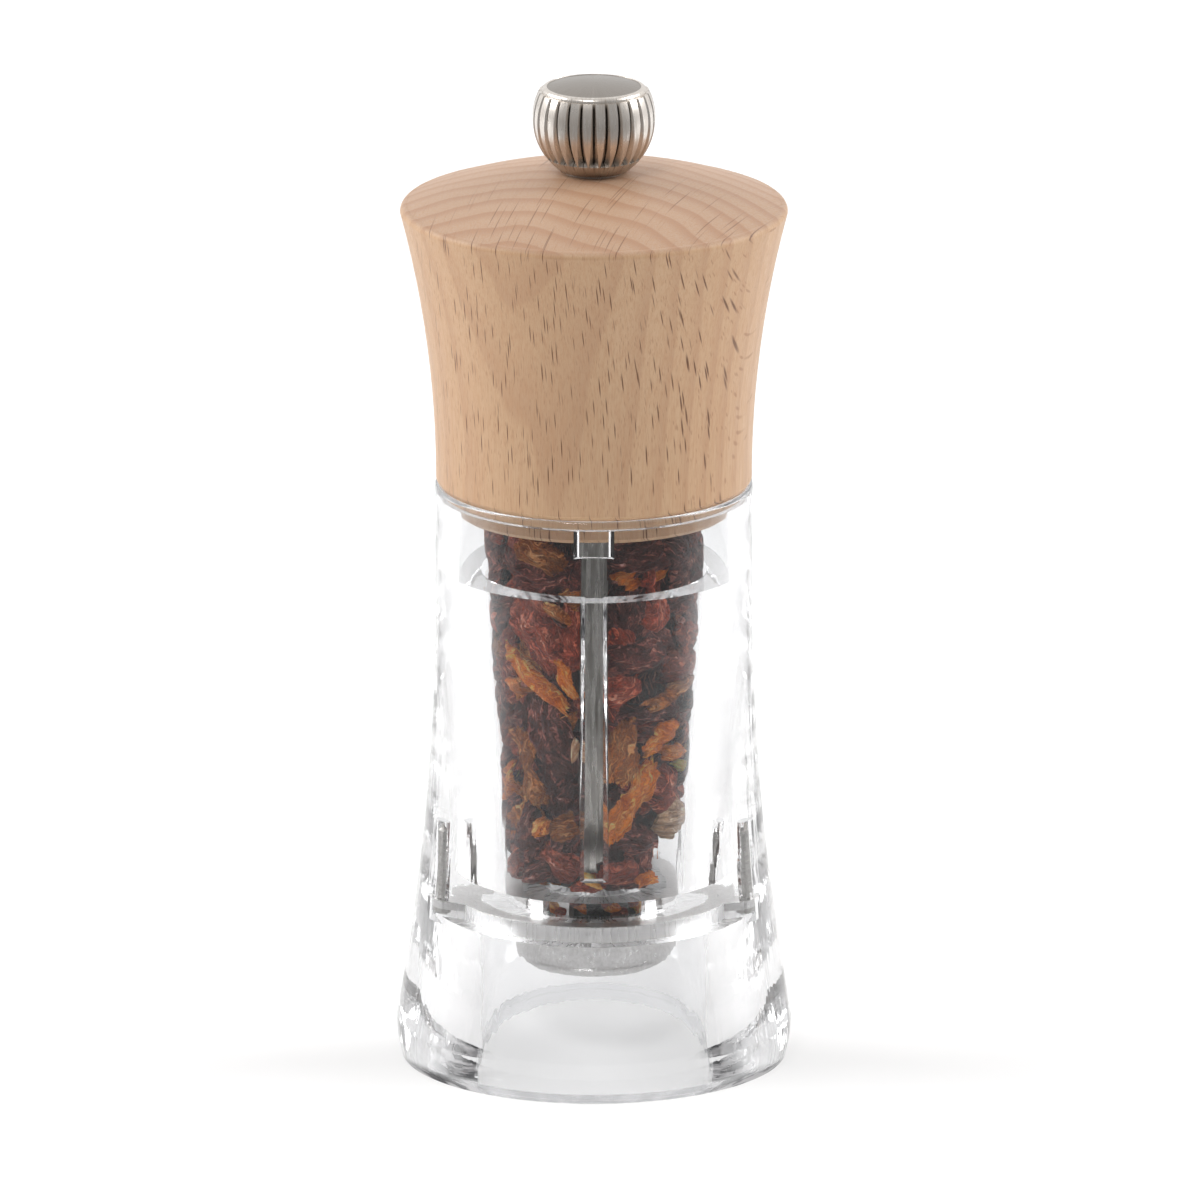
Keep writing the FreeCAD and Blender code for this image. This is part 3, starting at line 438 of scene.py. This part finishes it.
def arc(p, q, run_radius, bulge, count):
    """Points from p up to q, without q, on an arc that bulges outward (+1) or inward (-1)."""
    p, q = Vector(p), Vector(q)
    chord = q - p
    side = Vector((chord.y, -chord.x)).normalized() * bulge
    mid = (p + q) / 2 - side * math.sqrt(max(run_radius ** 2 - (chord.length / 2) ** 2, 0.0))
    a0 = math.atan2(p.y - mid.y, p.x - mid.x)
    a1 = math.atan2(q.y - mid.y, q.x - mid.x)
    a1 -= 2 * math.pi * round((a1 - a0) / (2 * math.pi))
    return [(mid.x + run_radius * math.cos(a0 + (a1 - a0) * i / count),
             mid.y + run_radius * math.sin(a0 + (a1 - a0) * i / count)) for i in range(count)]


def bow(run, rise):
    """Radius of an arc that ends upright and goes out by run over rise."""
    return (run * run + rise * rise) / (2 * run)


def prism(corners_low, corners_high):
    """Closed solid between two loops of the same length, as a mesh object for a cut."""
    n = len(corners_low)
    verts = [tuple(c * MM for c in v) for v in corners_low + corners_high]
    faces = [tuple(range(n)), tuple(range(2 * n - 1, n - 1, -1))]
    faces += [(i, i + n, (i + 1) % n + n, (i + 1) % n) for i in range(n)]
    made = bpy.data.meshes.new("cut")
    made.from_pydata(verts, [], faces)
    bm = bmesh.new()
    bm.from_mesh(made)
    bmesh.ops.recalc_face_normals(bm, faces=bm.faces)
    bm.to_mesh(made)
    bm.free()
    cut = bpy.data.objects.new("cut", made)
    scene.collection.objects.link(cut)
    return cut


def upright(half, y, low, high):
    """Corners of an upright rectangle that faces the front, low and high at its two ends."""
    return [(-half, y, low), (half, y, low), (half, y, high), (-half, y, high)]


def circle(x, radius, z, count=48):
    turns = [2 * math.pi * i / count for i in range(count)]
    return [(x + radius * math.cos(a), radius * math.sin(a), z) for a in turns]


def turned_body():
    """The clear body as turned, before anything is cut into it."""
    outline = [(RECESS_RADIUS, 0.0), (FOOT_RADIUS, 0.0)]
    crease, skirt, neck = (CREASE_RADIUS, CREASE_Z), (SKIRT_RADIUS, SKIRT_Z), (NECK_RADIUS, NECK_Z)
    outline += arc(crease, skirt, bow(SKIRT_RADIUS - CREASE_RADIUS, SKIRT_Z - CREASE_Z), 1, 12)
    outline += arc(skirt, neck, bow(SKIRT_RADIUS - NECK_RADIUS, NECK_Z - SKIRT_Z), -1, 60)
    outline += [neck]
    rounded = NECK_RADIUS - RIM_ROUNDING
    outline += arc((NECK_RADIUS, RIM_Z - RIM_ROUNDING), (rounded, RIM_Z), RIM_ROUNDING, 1, 8)
    outline += [(rounded, RIM_Z), (SEAT_RADIUS, RIM_Z), (SEAT_RADIUS, SEAT_Z - AIR), (THROAT_RADIUS, SEAT_Z - AIR),
                (THROAT_RADIUS, LEDGE_Z), (CHAMBER_TOP, LEDGE_Z), (CHAMBER_LOW, FLOOR_Z), (MOUTH_RADIUS, FLOOR_Z),
                (MOUTH_RADIUS, POCKET_Z - AIR), (POCKET_RADIUS, POCKET_Z - AIR), (POCKET_RADIUS, RECESS_Z),
                (RECESS_RADIUS, RECESS_Z)]
    steps, n = TURN_STEPS, len(outline)
    turns = [2 * math.pi * i / steps for i in range(steps)]
    verts = [(r * MM * math.cos(a), r * MM * math.sin(a), z * MM) for a in turns for r, z in outline]
    faces = [(i * n + j, (i + 1) % steps * n + j, (i + 1) % steps * n + (j + 1) % n, i * n + (j + 1) % n)
             for i in range(steps) for j in range(n)]
    made = bpy.data.meshes.new("clear_body")
    made.from_pydata(verts, [], faces)
    body = bpy.data.objects.new("clear_body", made)
    scene.collection.objects.link(body)
    return body


def body_cuts():
    """Groove, notch, their chamfers, the lugs' pockets and the screws' holes."""
    cuts = []
    groove_high, notch_high = LEDGE_Z + OVER, RIM_Z + OVER
    # the groove and the notch, whose sides widen towards the axis; reach is their depth from it
    for width, low, high, reach, draft in ((GROOVE_WIDTH, GROOVE_LOW, groove_high, 16.4, 0.16),
                                           (NOTCH_WIDTH, NOTCH_LOW, notch_high, 20.2, 0.3)):
        cuts.append(prism(*[upright(width / 2 + (reach - depth) * draft, -depth, low - (reach - depth) * draft, high)
                            for depth in (reach, 8.0)]))
    # chamfer along the groove's mouth, which follows the chamber's wall
    slope = (CHAMBER_TOP - CHAMBER_LOW) / (LEDGE_Z - FLOOR_Z)
    loops = []
    for step, half in ((0.30, 1.2), (-0.6, 2.10)):
        low = GROOVE_LOW + 1.2 - half
        near = [-(CHAMBER_LOW + (z - FLOOR_Z) * slope + step) for z in (low, groove_high)]
        loops.append([(-half, near[0], low), (half, near[0], low), (half, near[1], groove_high),
                      (-half, near[1], groove_high)])
    cuts.append(prism(*loops))
    # chamfer round the notch
    cuts.append(prism(upright(2.1, -THROAT_RADIUS - 0.40, NOTCH_LOW, notch_high),
                      upright(3.1, -THROAT_RADIUS + 0.6, NOTCH_LOW - 1.0, notch_high)))
    for side in (-1, 1):
        ends = [(side * (SCREW_AT + LUG_RADIUS * math.sin(a)), side * LUG_RADIUS * math.cos(a))
                for a in np.linspace(0, math.pi, 24)]
        ends += [(side * 10.0, -side * LUG_RADIUS), (side * 10.0, side * LUG_RADIUS)]
        cuts.append(prism([(x, y, RECESS_Z - OVER) for x, y in ends], [(x, y, POCKET_Z - AIR) for x, y in ends]))
        cuts.append(prism(circle(side * SCREW_AT, SCREW_RADIUS, POCKET_Z - 0.5),
                          circle(side * SCREW_AT, SCREW_RADIUS, SCREW_TOP)))
    return cuts


def optical_body():
    """The clear body again, turned with enough facets to bend light smoothly.

    It has the sizes of the CAD node that it replaces. AIR keeps a thin film
    of air under the head's seat, and closes the film over the flange, so the
    steel is seen straight through the floor.
    """
    body = turned_body()
    cuts = body_cuts()
    for i, cut in enumerate(cuts):
        mod = body.modifiers.new(f"cut{i}", "BOOLEAN")
        mod.operation = "DIFFERENCE"
        mod.solver = "EXACT"
        mod.object = cut
    bpy.context.view_layer.update()
    done = bpy.data.meshes.new_from_object(body.evaluated_get(bpy.context.evaluated_depsgraph_get()))
    body.modifiers.clear()
    body.data = done
    for cut in cuts:
        bpy.data.objects.remove(cut)
    bm = bmesh.new()
    bm.from_mesh(done)
    bmesh.ops.remove_doubles(bm, verts=bm.verts, dist=1e-7)
    bmesh.ops.recalc_face_normals(bm, faces=bm.faces)
    for face in bm.faces:
        face.smooth = True
    for edge in bm.edges:
        edge.smooth = len(edge.link_faces) == 2 and edge.calc_face_angle() < SMOOTH_ANGLE
    bm.to_mesh(done)
    bm.free()
    done.materials.clear()
    done.materials.append(ACRYLIC)
    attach(body, "mill_body")
    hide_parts("acrylic_body")


optical_body()

# Dried chilli pieces in the chamber ---------------------------------------------

WALL_MOST = 16.0        # pieces in the wider throat keep to this radius
LANE = 1.75             # half width of the clear lane in front of the shaft
FRONT = -math.pi / 2    # the angle that faces the camera's side
BOXY = 3.2              # power of the superellipse that a piece starts from


def wall(z):
    """Inner radius of the clear body at a height, in mm."""
    if z > LEDGE_Z:
        return THROAT_RADIUS
    share = min(max((z - FLOOR_Z) / (LEDGE_Z - FLOOR_Z), 0.0), 1.0)
    return CHAMBER_LOW + (CHAMBER_TOP - CHAMBER_LOW) * share


def turned(points, first, second, angle):
    """Turn the points in place in the plane of two of their axes."""
    c, s = math.cos(angle), math.sin(angle)
    points[:, [first, second]] = points[:, [first, second]] @ np.array([[c, s], [-s, c]])


def flake(spec, draw, fine=False):
    """Vertices, faces and skin map of one crumpled, torn piece of dried pod, in mm.

    spec: angle and height of its middle, half length, half width, turn in
    its own plane, tilt off the wall, distance from the wall, and kind.
    """
    around, high, long_, wide, spin, tilt, inset, kind = spec
    rings, spokes, knots = (16, 96, int(draw.integers(9, 14))) if fine else (7, 40, int(draw.integers(7, 11)))
    skin_like = kind in (BROWN, ORANGE)
    # torn outline: straight runs between uneven corners, boxy rather than oval
    corner = np.append(draw.uniform(0.62 if skin_like else 0.78, 1.20, knots), 0.0)
    corner[-1] = corner[0]
    turn = np.arange(spokes) / spokes * knots
    left = turn.astype(int)
    edge = corner[left] + (corner[left + 1] - corner[left]) * (turn - left)
    edge = edge + draw.uniform(-0.05, 0.05, spokes) * (1.4 if skin_like else 0.5)
    theta = 2 * math.pi * np.arange(spokes) / spokes
    edge *= (np.abs(np.cos(theta)) ** BOXY + np.abs(np.sin(theta)) ** BOXY) ** (-1 / BOXY)
    share = np.repeat(np.arange(rings + 1) / rings, spokes)
    theta_all = np.tile(theta, rings + 1)
    grown = share * (1 + (np.tile(edge, rings + 1) - 1) * share)
    u = grown * np.cos(theta_all) * long_
    v = grown * np.sin(theta_all) * wide
    phase = draw.uniform(0, 6.28, 12)
    lean = draw.uniform(-0.5, 0.5)
    bend = 1.3 * np.sin(u * 0.45 + phase[3]) + 0.8 * np.sin(v * 0.9 + phase[4])

    def crease(size, k, ph):
        """Sharp ridges, soft valleys."""
        return size * (0.5 - np.abs(np.sin((v + lean * u) * k + bend + ph)))

    # wrinkles from broad to fine
    ripple = crease(0.62, 0.62, phase[0]) + crease(0.30, 1.25, phase[1])
    ripple += 0.30 * np.sin(u * 0.9 + v * 0.5 + phase[5]) * np.cos(v * 0.8 - u * 0.3 + phase[6])
    ripple += 0.13 * np.sin(u * 2.3 + 1.4 * np.sin(v * 1.6 + phase[7])) * np.sin(v * 2.9 + phase[8])
    if fine:
        ripple += 0.07 * np.sin(v * 6.1 + 2.0 * np.sin(u * 1.1 + phase[9]) + phase[10])
        ripple += 0.05 * np.sin(u * 5.3 + v * 3.1 + phase[11]) * np.sin(v * 7.7 - u * 2.1)
    # a piece drops away to its edge, curls there, and is thickest in its middle
    drop = 0.9 if skin_like else 1.9
    lift = ripple - drop * (0.6 * (v / wide) ** 2 + 0.4 * (u / long_) ** 2)
    lift = lift + 0.5 * share ** 4 * np.sin(theta_all * 3 + phase[2])
    thick = 0.07 + (0.12 if skin_like else 0.55) * np.sqrt(np.clip(1 - share ** 2, 0, 1))
    local = np.concatenate([np.stack([u, v, lift + thick], 1), np.stack([u, v, lift - thick - 0.1], 1)])
    skin = np.tile(np.stack([u, v], 1) + draw.uniform(-50, 50, 2), (2, 1))
    turned(local, 0, 1, spin)
    turned(local, 1, 2, tilt[0])
    turned(local, 0, 2, tilt[1])
    # local x runs round the axis, y up, z outwards; the piece bends round with the wall
    r0 = min(wall(high), WALL_MOST) - inset
    r = r0 + local[:, 2]
    angle = around + local[:, 0] / r0
    place = np.stack([r * np.cos(angle), r * np.sin(angle), high + local[:, 1]], 1)
    n = (rings + 1) * spokes
    faces = []
    for side in (0, 1):
        for k in range(rings):
            for s in range(spokes):
                a, b = side * n + k * spokes + s, side * n + k * spokes + (s + 1) % spokes
                quad = (a, b, b + spokes, a + spokes)
                faces.append(quad if side else quad[::-1])
    for s in range(spokes):
        a, b = rings * spokes + s, rings * spokes + (s + 1) % spokes
        faces.append((a, b, b + n, a + n))
    return confine(place, around), faces, skin


def confine(points, around):
    """Press a piece inside the chamber's wall and keep it on its side of the clear lane."""
    z = points[:, 2] = np.clip(points[:, 2], FLOOR_Z + 0.25, SPIGOT_Z - 0.5)
    share = np.clip((z - FLOOR_Z) / (LEDGE_Z - FLOOR_Z), 0, 1)
    most = np.minimum(CHAMBER_LOW + (CHAMBER_TOP - CHAMBER_LOW) * share, WALL_MOST) - 0.12
    r = np.hypot(points[:, 0], points[:, 1])
    # a soft limit keeps a pressed piece slightly uneven instead of flat on the wall
    start = most - 0.35
    press = np.where(r > start, (start + 0.35 * np.tanh((r - start) / 1.1)) / r, 1.0)
    points[:, :2] *= press[:, None]
    side = 1.0 if math.cos(around) > 0 else -1.0
    cross = (points[:, 1] < 0.5) & (points[:, 0] * side < LANE) & (z > FLOOR_Z + 4.5)
    if math.sin(around) < 0.3:
        points[cross, 0] = side * LANE
    return points


def build_mesh(name, parts, material):
    """One object from (vertices in mm, faces, skin map) parts, riding on the clear body."""
    verts, faces, skins, base = [], [], [], 0
    for pts, fcs, skin in parts:
        verts.append(pts * MM)
        skins.append(skin)
        faces += [tuple(i + base for i in f) for f in fcs]
        base += len(pts)
    made = bpy.data.meshes.new(name)
    made.from_pydata(np.concatenate(verts).tolist(), [], faces)
    made.materials.append(material)
    made.polygons.foreach_set("use_smooth", [True] * len(made.polygons))
    layer = made.uv_layers.new(name="skin")
    corner = np.zeros(len(made.loops), np.int32)
    made.loops.foreach_get("vertex_index", corner)
    layer.data.foreach_set("uv", np.concatenate(skins)[corner].astype(np.float32).ravel())
    made.update()
    obj = bpy.data.objects.new(name, made)
    scene.collection.objects.link(obj)
    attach(obj, "mill_body")


# Pieces that show at the front: x and z of the middle, half length, half
# width, turn in degrees, kind (index in PODS), distance behind the wall
FRONT_PIECES = [
    (-14.1, 75.1, 3.8, 1.7, 85, 0, 0.9), (-7.8, 75.2, 4.7, 2.1, -20, 2, 0.5),
    (-7.5, 72.4, 5.0, 3.6, 10, 0, 1.6), (6.4, 74.8, 4.8, 3.4, 6, 0, 0.9),
    (12.4, 74.6, 3.4, 2.8, -50, 0, 0.7), (8.0, 71.8, 1.4, 1.2, 80, 1, 0.4),
    (-14.0, 67.6, 3.8, 1.7, 86, 0, 0.8), (-7.6, 63.9, 7.0, 3.5, -53, 1, 0.9),
    (-4.9, 67.9, 2.7, 0.9, -40, 2, 0.2), (8.4, 67.3, 2.8, 2.2, 80, 1, 0.3),
    (12.6, 68.4, 3.0, 2.4, 60, 0, 0.8), (13.0, 62.6, 4.1, 2.2, 80, 1, 0.5),
    (4.6, 66.8, 4.4, 2.4, 85, 0, 1.8), (6.2, 60.8, 5.0, 2.9, 5, 0, 1.1), (11.0, 58.2, 2.6, 2.1, 20, 1, 0.4),
    (-7.4, 57.6, 6.8, 1.35, -43, 3, 0.1), (-3.9, 58.4, 3.3, 1.0, -62, 3, 0.2),
    (-12.3, 57.6, 5.6, 2.0, 88, 1, 0.9), (-9.6, 56.2, 1.8, 1.2, -30, 2, 0.3),
    (-6.4, 49.2, 6.4, 4.1, -75, 0, 0.8), (3.9, 56.2, 2.5, 2.3, 20, 1, 0.6),
    (10.2, 55.0, 4.5, 1.25, 17, 2, 0.2), (7.2, 52.2, 5.6, 2.0, 4, 0, 1.1),
    (-2.6, 47.8, 1.9, 0.45, 85, 4, 0.1), (-8.4, 45.0, 5.3, 1.55, -72, 2, 0.3),
    (-11.2, 41.3, 2.5, 1.3, 80, 3, 0.25), (-11.8, 48.6, 3.8, 1.4, -80, 1, 0.9),
    (3.8, 46.9, 4.7, 2.2, 70, 2, 0.5), (8.4, 48.6, 3.4, 1.1, 33, 3, 0.15),
    (10.2, 46.2, 2.4, 1.0, -4, 3, 0.2), (12.7, 45.4, 3.1, 1.2, -75, 2, 0.5),
    (7.9, 44.4, 3.6, 1.9, 30, 0, 1.5), (4.6, 39.4, 6.3, 2.2, 60, 3, 0.15),
    (9.8, 40.2, 3.4, 2.7, 40, 1, 0.6), (10.9, 35.6, 3.4, 2.9, 10, 4, 0.1),
    (12.3, 42.9, 0.9, 0.35, 60, 5, 0.1), (-5.2, 40.6, 3.4, 2.6, 70, 0, 1.3),
    (6.0, 33.6, 3.5, 2.3, -12, 0, 0.9), (-9.4, 33.7, 4.8, 2.7, 80, 0, 0.8),
    (-6.6, 36.0, 1.9, 1.1, 60, 3, 0.15), (-3.9, 36.0, 2.2, 1.9, 20, 2, 0.4),
    (-4.3, 30.6, 3.5, 2.5, -30, 1, 0.4), (3.0, 29.3, 2.8, 2.0, 10, 1, 0.5),
    (6.4, 28.2, 2.0, 1.0, 10, 3, 0.15), (-7.8, 28.6, 2.6, 1.8, 20, 0, 0.8),
    (-0.4, 28.2, 1.6, 0.45, -35, 5, 0.1), (-0.9, 27.2, 2.4, 1.0, 5, 1, 0.9),
]


def layer(groups, count, inset, sector):
    """Scatter pieces over a sector round the back, some of each kind."""
    for _ in range(count):
        z = rng.uniform(FLOOR_Z + 1.5, SPIGOT_Z - 1.5)
        around = -FRONT + rng.uniform(-sector / 2, sector / 2)
        long_ = rng.uniform(3.0, 5.6)
        pick = rng.random()
        kind = DARK if pick < 0.55 else MAROON if pick < 0.82 else BROWN if pick < 0.95 else ORANGE
        wide = long_ * rng.uniform(0.45, 0.8)
        spin, tilt = rng.uniform(0, math.pi), rng.normal(0, 0.22, 2)
        made = flake((around, z, long_, wide, spin, tilt, inset + rng.uniform(-0.4, 0.6), kind), rng)
        # the lower right corner has a gap
        if made[0][:, 0].max() < 9.8 or z > 34.5:
            groups[kind].append(made)


def stack(groups, side, low, count=13):
    """Pieces stacked along one side of the chamber, two abreast, up to the head."""
    high = SPIGOT_Z - 1.7
    for k in range(count):
        z = low + (high - low) * k / (count - 1)
        for offset in (-0.28, 0.22):
            around = side + (offset if side else -offset) + rng.normal(0, 0.05)
            long_, wide = rng.uniform(2.6, 3.4), rng.uniform(1.7, 2.3)
            spin, tilt = math.radians(rng.uniform(60, 110)), rng.normal(0, 0.08, 2)
            kind = MAROON if (k + int(offset > 0)) % 3 == 1 else DARK
            groups[kind].append(flake((around, z, long_, wide, spin, tilt, 0.95, kind), rng))


def chilli():
    """The filling: the front pieces, two layers behind them, and the two sides."""
    groups = {i: [] for i in range(len(PODS))}
    for x, z, long_, wide, turn, kind, inset in FRONT_PIECES:
        r = min(wall(z), WALL_MOST) - inset - 0.4
        around = FRONT + math.asin(max(-0.98, min(0.98, x / r)))
        inset += 0.35 if kind in (BROWN, ORANGE) else 0.75
        spec = (around, z, long_, wide, math.radians(turn), rng.normal(0, 0.05, 2), inset, kind)
        groups[kind].append(flake(spec, rng, True))
    layer(groups, 100, 3.1, 2 * math.pi)
    layer(groups, 120, 1.5, 1.2 * math.pi)
    stack(groups, 0.0, 37.0)
    stack(groups, math.pi, 27.5)
    for kind, parts in groups.items():
        if parts:
            build_mesh("chilli_" + PODS[kind].name.split("_")[1], parts, PODS[kind])


def crumbs(count=26, made_at=40.0):
    """Broken pieces in the hole over the grinding set."""
    parts = []
    for k in range(count):
        around = FRONT + (k / (count - 1) - 0.5) * math.pi * 0.94
        z = 22.7 + 2.3 * ((k * 7) % 4) / 3
        long_, wide, spin = rng.uniform(0.9, 1.5), rng.uniform(0.6, 0.9), rng.uniform(0, 3)
        pts, faces, skin = flake((around, made_at, long_, wide, spin, (0, 0), 0.0, MAROON), rng)
        # made at the chamber's wall, then drawn in to the hole and spread round it
        r = np.hypot(pts[:, 0], pts[:, 1])
        r = MOUTH_RADIUS - 0.25 + (r - r.max()) * 0.5
        turn = around + (np.arctan2(pts[:, 1], pts[:, 0]) - around) * 1.6
        high = np.clip(z + (pts[:, 2] - made_at) * 0.9, 21.0, FLOOR_Z + 0.6)
        parts.append((np.stack([r * np.cos(turn), r * np.sin(turn), high], 1), faces, skin))
    build_mesh("crumbs_red", parts[::2], PODS[MAROON])
    build_mesh("crumbs_brown", parts[1::4], PODS[BROWN])
    build_mesh("crumbs_orange", parts[3::4], PODS[ORANGE])


def core(steps=64, rows=70):
    """Dark broken pieces deep inside, which close the view through the filling."""
    pts, faces = [], []
    bumps = rng.uniform(0, 6.28, 8)
    for j in range(rows + 1):
        z = FLOOR_Z + 0.5 + (SPIGOT_Z - FLOOR_Z - 1.4) * j / rows
        for i in range(steps):
            a = 2 * math.pi * i / steps
            r = min(wall(z), 15.0) - 4.4
            r += 0.8 * math.sin(3 * a + 0.5 * z + bumps[0]) * math.cos(0.7 * z + bumps[1])
            r += 0.5 * math.sin(7 * a - 0.9 * z + bumps[2])
            pts.append((r * math.cos(a), r * math.sin(a), z))
    for j in range(rows):
        for i in range(steps):
            a, b = j * steps + i, j * steps + (i + 1) % steps
            faces.append((a, b, b + steps, a + steps))
    faces.append(tuple(reversed(range(steps))))
    faces.append(tuple(range(rows * steps, (rows + 1) * steps)))
    pts = np.array(pts)
    # room for the shaft and the lane in front of it
    lane = (pts[:, 1] < 0) & (np.abs(pts[:, 0]) < 2.6)
    pts[lane, 1] = np.maximum(pts[lane, 1], 2.2)
    skin = np.stack([pts[:, 2], np.arctan2(pts[:, 1], pts[:, 0]) * 11.0], 1)
    build_mesh("chilli_core", [(pts, faces, skin)], PODS[DARK])


core()
chilli()
crumbs()

# Studio ---------------------------------------------------------------------------

FLOOR_HALF, FLOOR_DROP = 3.0, 0.00003   # metres
LIT_FROM, LIT_FULL = -0.14, -0.07       # where the lit part of the paper ends, in metres
ROOM_DIM, ROOM_TURN = 0.18, 0.70        # strength on the camera's side, and how far it reaches round
CARD = 0.25                             # share of the white that metal sees beside the camera

mesh = bpy.data.meshes.new("studio_floor")
mesh.from_pydata([(x * FLOOR_HALF, y * FLOOR_HALF, -FLOOR_DROP) for x, y in ((-1, -1), (1, -1), (1, 1), (-1, 1))],
                 [], [(0, 1, 2, 3)])
floor = bpy.data.objects.new("studio_floor", mesh)
scene.collection.objects.link(floor)
paper = Tree("studio_paper")
grain = paper.noise(paper.coords(), 40.0)
# the lit part of the paper ends in front of the object, so the glass doesn't mirror it
lit = paper.range(paper.xyz(paper.coords())[1], LIT_FROM, LIT_FULL)
for ray in ("Is Camera Ray", "Is Diffuse Ray"):
    lit = paper.math("MAXIMUM", lit, paper.add("LightPath").outputs[ray])
pale = paper.mix(grain, (0.93, 0.93, 0.93), (0.95, 0.95, 0.95))
mesh.materials.append(paper.base(paper.mix(lit, (0.26, 0.26, 0.26), pale), 0.95))

world = bpy.data.worlds.new("studio")
scene.world = world
world.use_nodes = True
wt = world.node_tree


def wnode(kind, **settings):
    node = wt.nodes.new("ShaderNode" + kind)
    for key, val in settings.items():
        setattr(node, key, val)
    return node


# white paper behind the object, a dimmer room on the camera's side
split = wnode("SeparateXYZ")
wt.links.new(wnode("TexCoord").outputs["Generated"], split.inputs[0])
depth = wnode("MapRange", interpolation_type="SMOOTHSTEP")
wt.links.new(split.outputs[1], depth.inputs[0])
for i, v in ((1, -ROOM_TURN), (2, ROOM_TURN), (3, ROOM_DIM), (4, 1.0)):
    depth.inputs[i].default_value = v
room = wt.nodes["Background"]
room.inputs[0].default_value = (1, 1, 1, 1)
wt.links.new(depth.outputs[0], room.inputs[1])
full = wnode("Background")
full.inputs[0].default_value = (1, 1, 1, 1)
full.inputs[1].default_value = 1.0
path = wnode("LightPath")
card = wnode("Math", operation="MULTIPLY")
wt.links.new(path.outputs["Is Glossy Ray"], card.inputs[0])
card.inputs[1].default_value = CARD
seen = wnode("Math", operation="MAXIMUM")
wt.links.new(path.outputs["Is Camera Ray"], seen.inputs[0])
wt.links.new(card.outputs[0], seen.inputs[1])
blend = wnode("MixShader")
wt.links.new(seen.outputs[0], blend.inputs[0])
wt.links.new(room.outputs[0], blend.inputs[1])
wt.links.new(full.outputs[0], blend.inputs[2])
wt.links.new(blend.outputs[0], wt.nodes["World Output"].inputs[0])


def aim(obj, spot, at):
    obj.location = spot
    obj.rotation_mode = "QUATERNION"
    obj.rotation_quaternion = (Vector(at) - Vector(spot)).to_track_quat("-Z", "Y")


def softbox(name, spot, size, power):
    light = bpy.data.lights.new(name, "AREA")
    light.size = size
    light.energy = power
    obj = bpy.data.objects.new(name, light)
    scene.collection.objects.link(obj)
    aim(obj, spot, (0, 0, 0.07))


softbox("key_softbox", (-0.4, -1.1, 1.7), 0.5, 10)
softbox("left_softbox", (-1.4, 0.2, 0.95), 0.9, 15)
softbox("right_softbox", (1.4, 0.2, 0.95), 0.9, 14)

DISTANCE = 4.0
ELEVATION = math.radians(15.6)
VIEW_WIDTH = 0.16741                    # width of the view at the target, in metres
TARGET = Vector((0.00084, 0.0, 0.0653))
SENSOR = 36
camera = bpy.data.cameras.new("camera")
cam = bpy.data.objects.new("camera", camera)
scene.collection.objects.link(cam)
scene.camera = cam
back = Vector((0, -math.cos(ELEVATION), math.sin(ELEVATION)))
aim(cam, TARGET + back * DISTANCE, TARGET)
camera.sensor_width = SENSOR
camera.lens = SENSOR * DISTANCE / VIEW_WIDTH
camera.clip_end = 100
scene.view_settings.view_transform = "Standard"
# light is led a long way inside the clear body
LONG_PATH = 32
scene.cycles.max_bounces = LONG_PATH
scene.cycles.glossy_bounces = 24
scene.cycles.transmission_bounces = LONG_PATH
scene.cycles.transparent_max_bounces = LONG_PATH
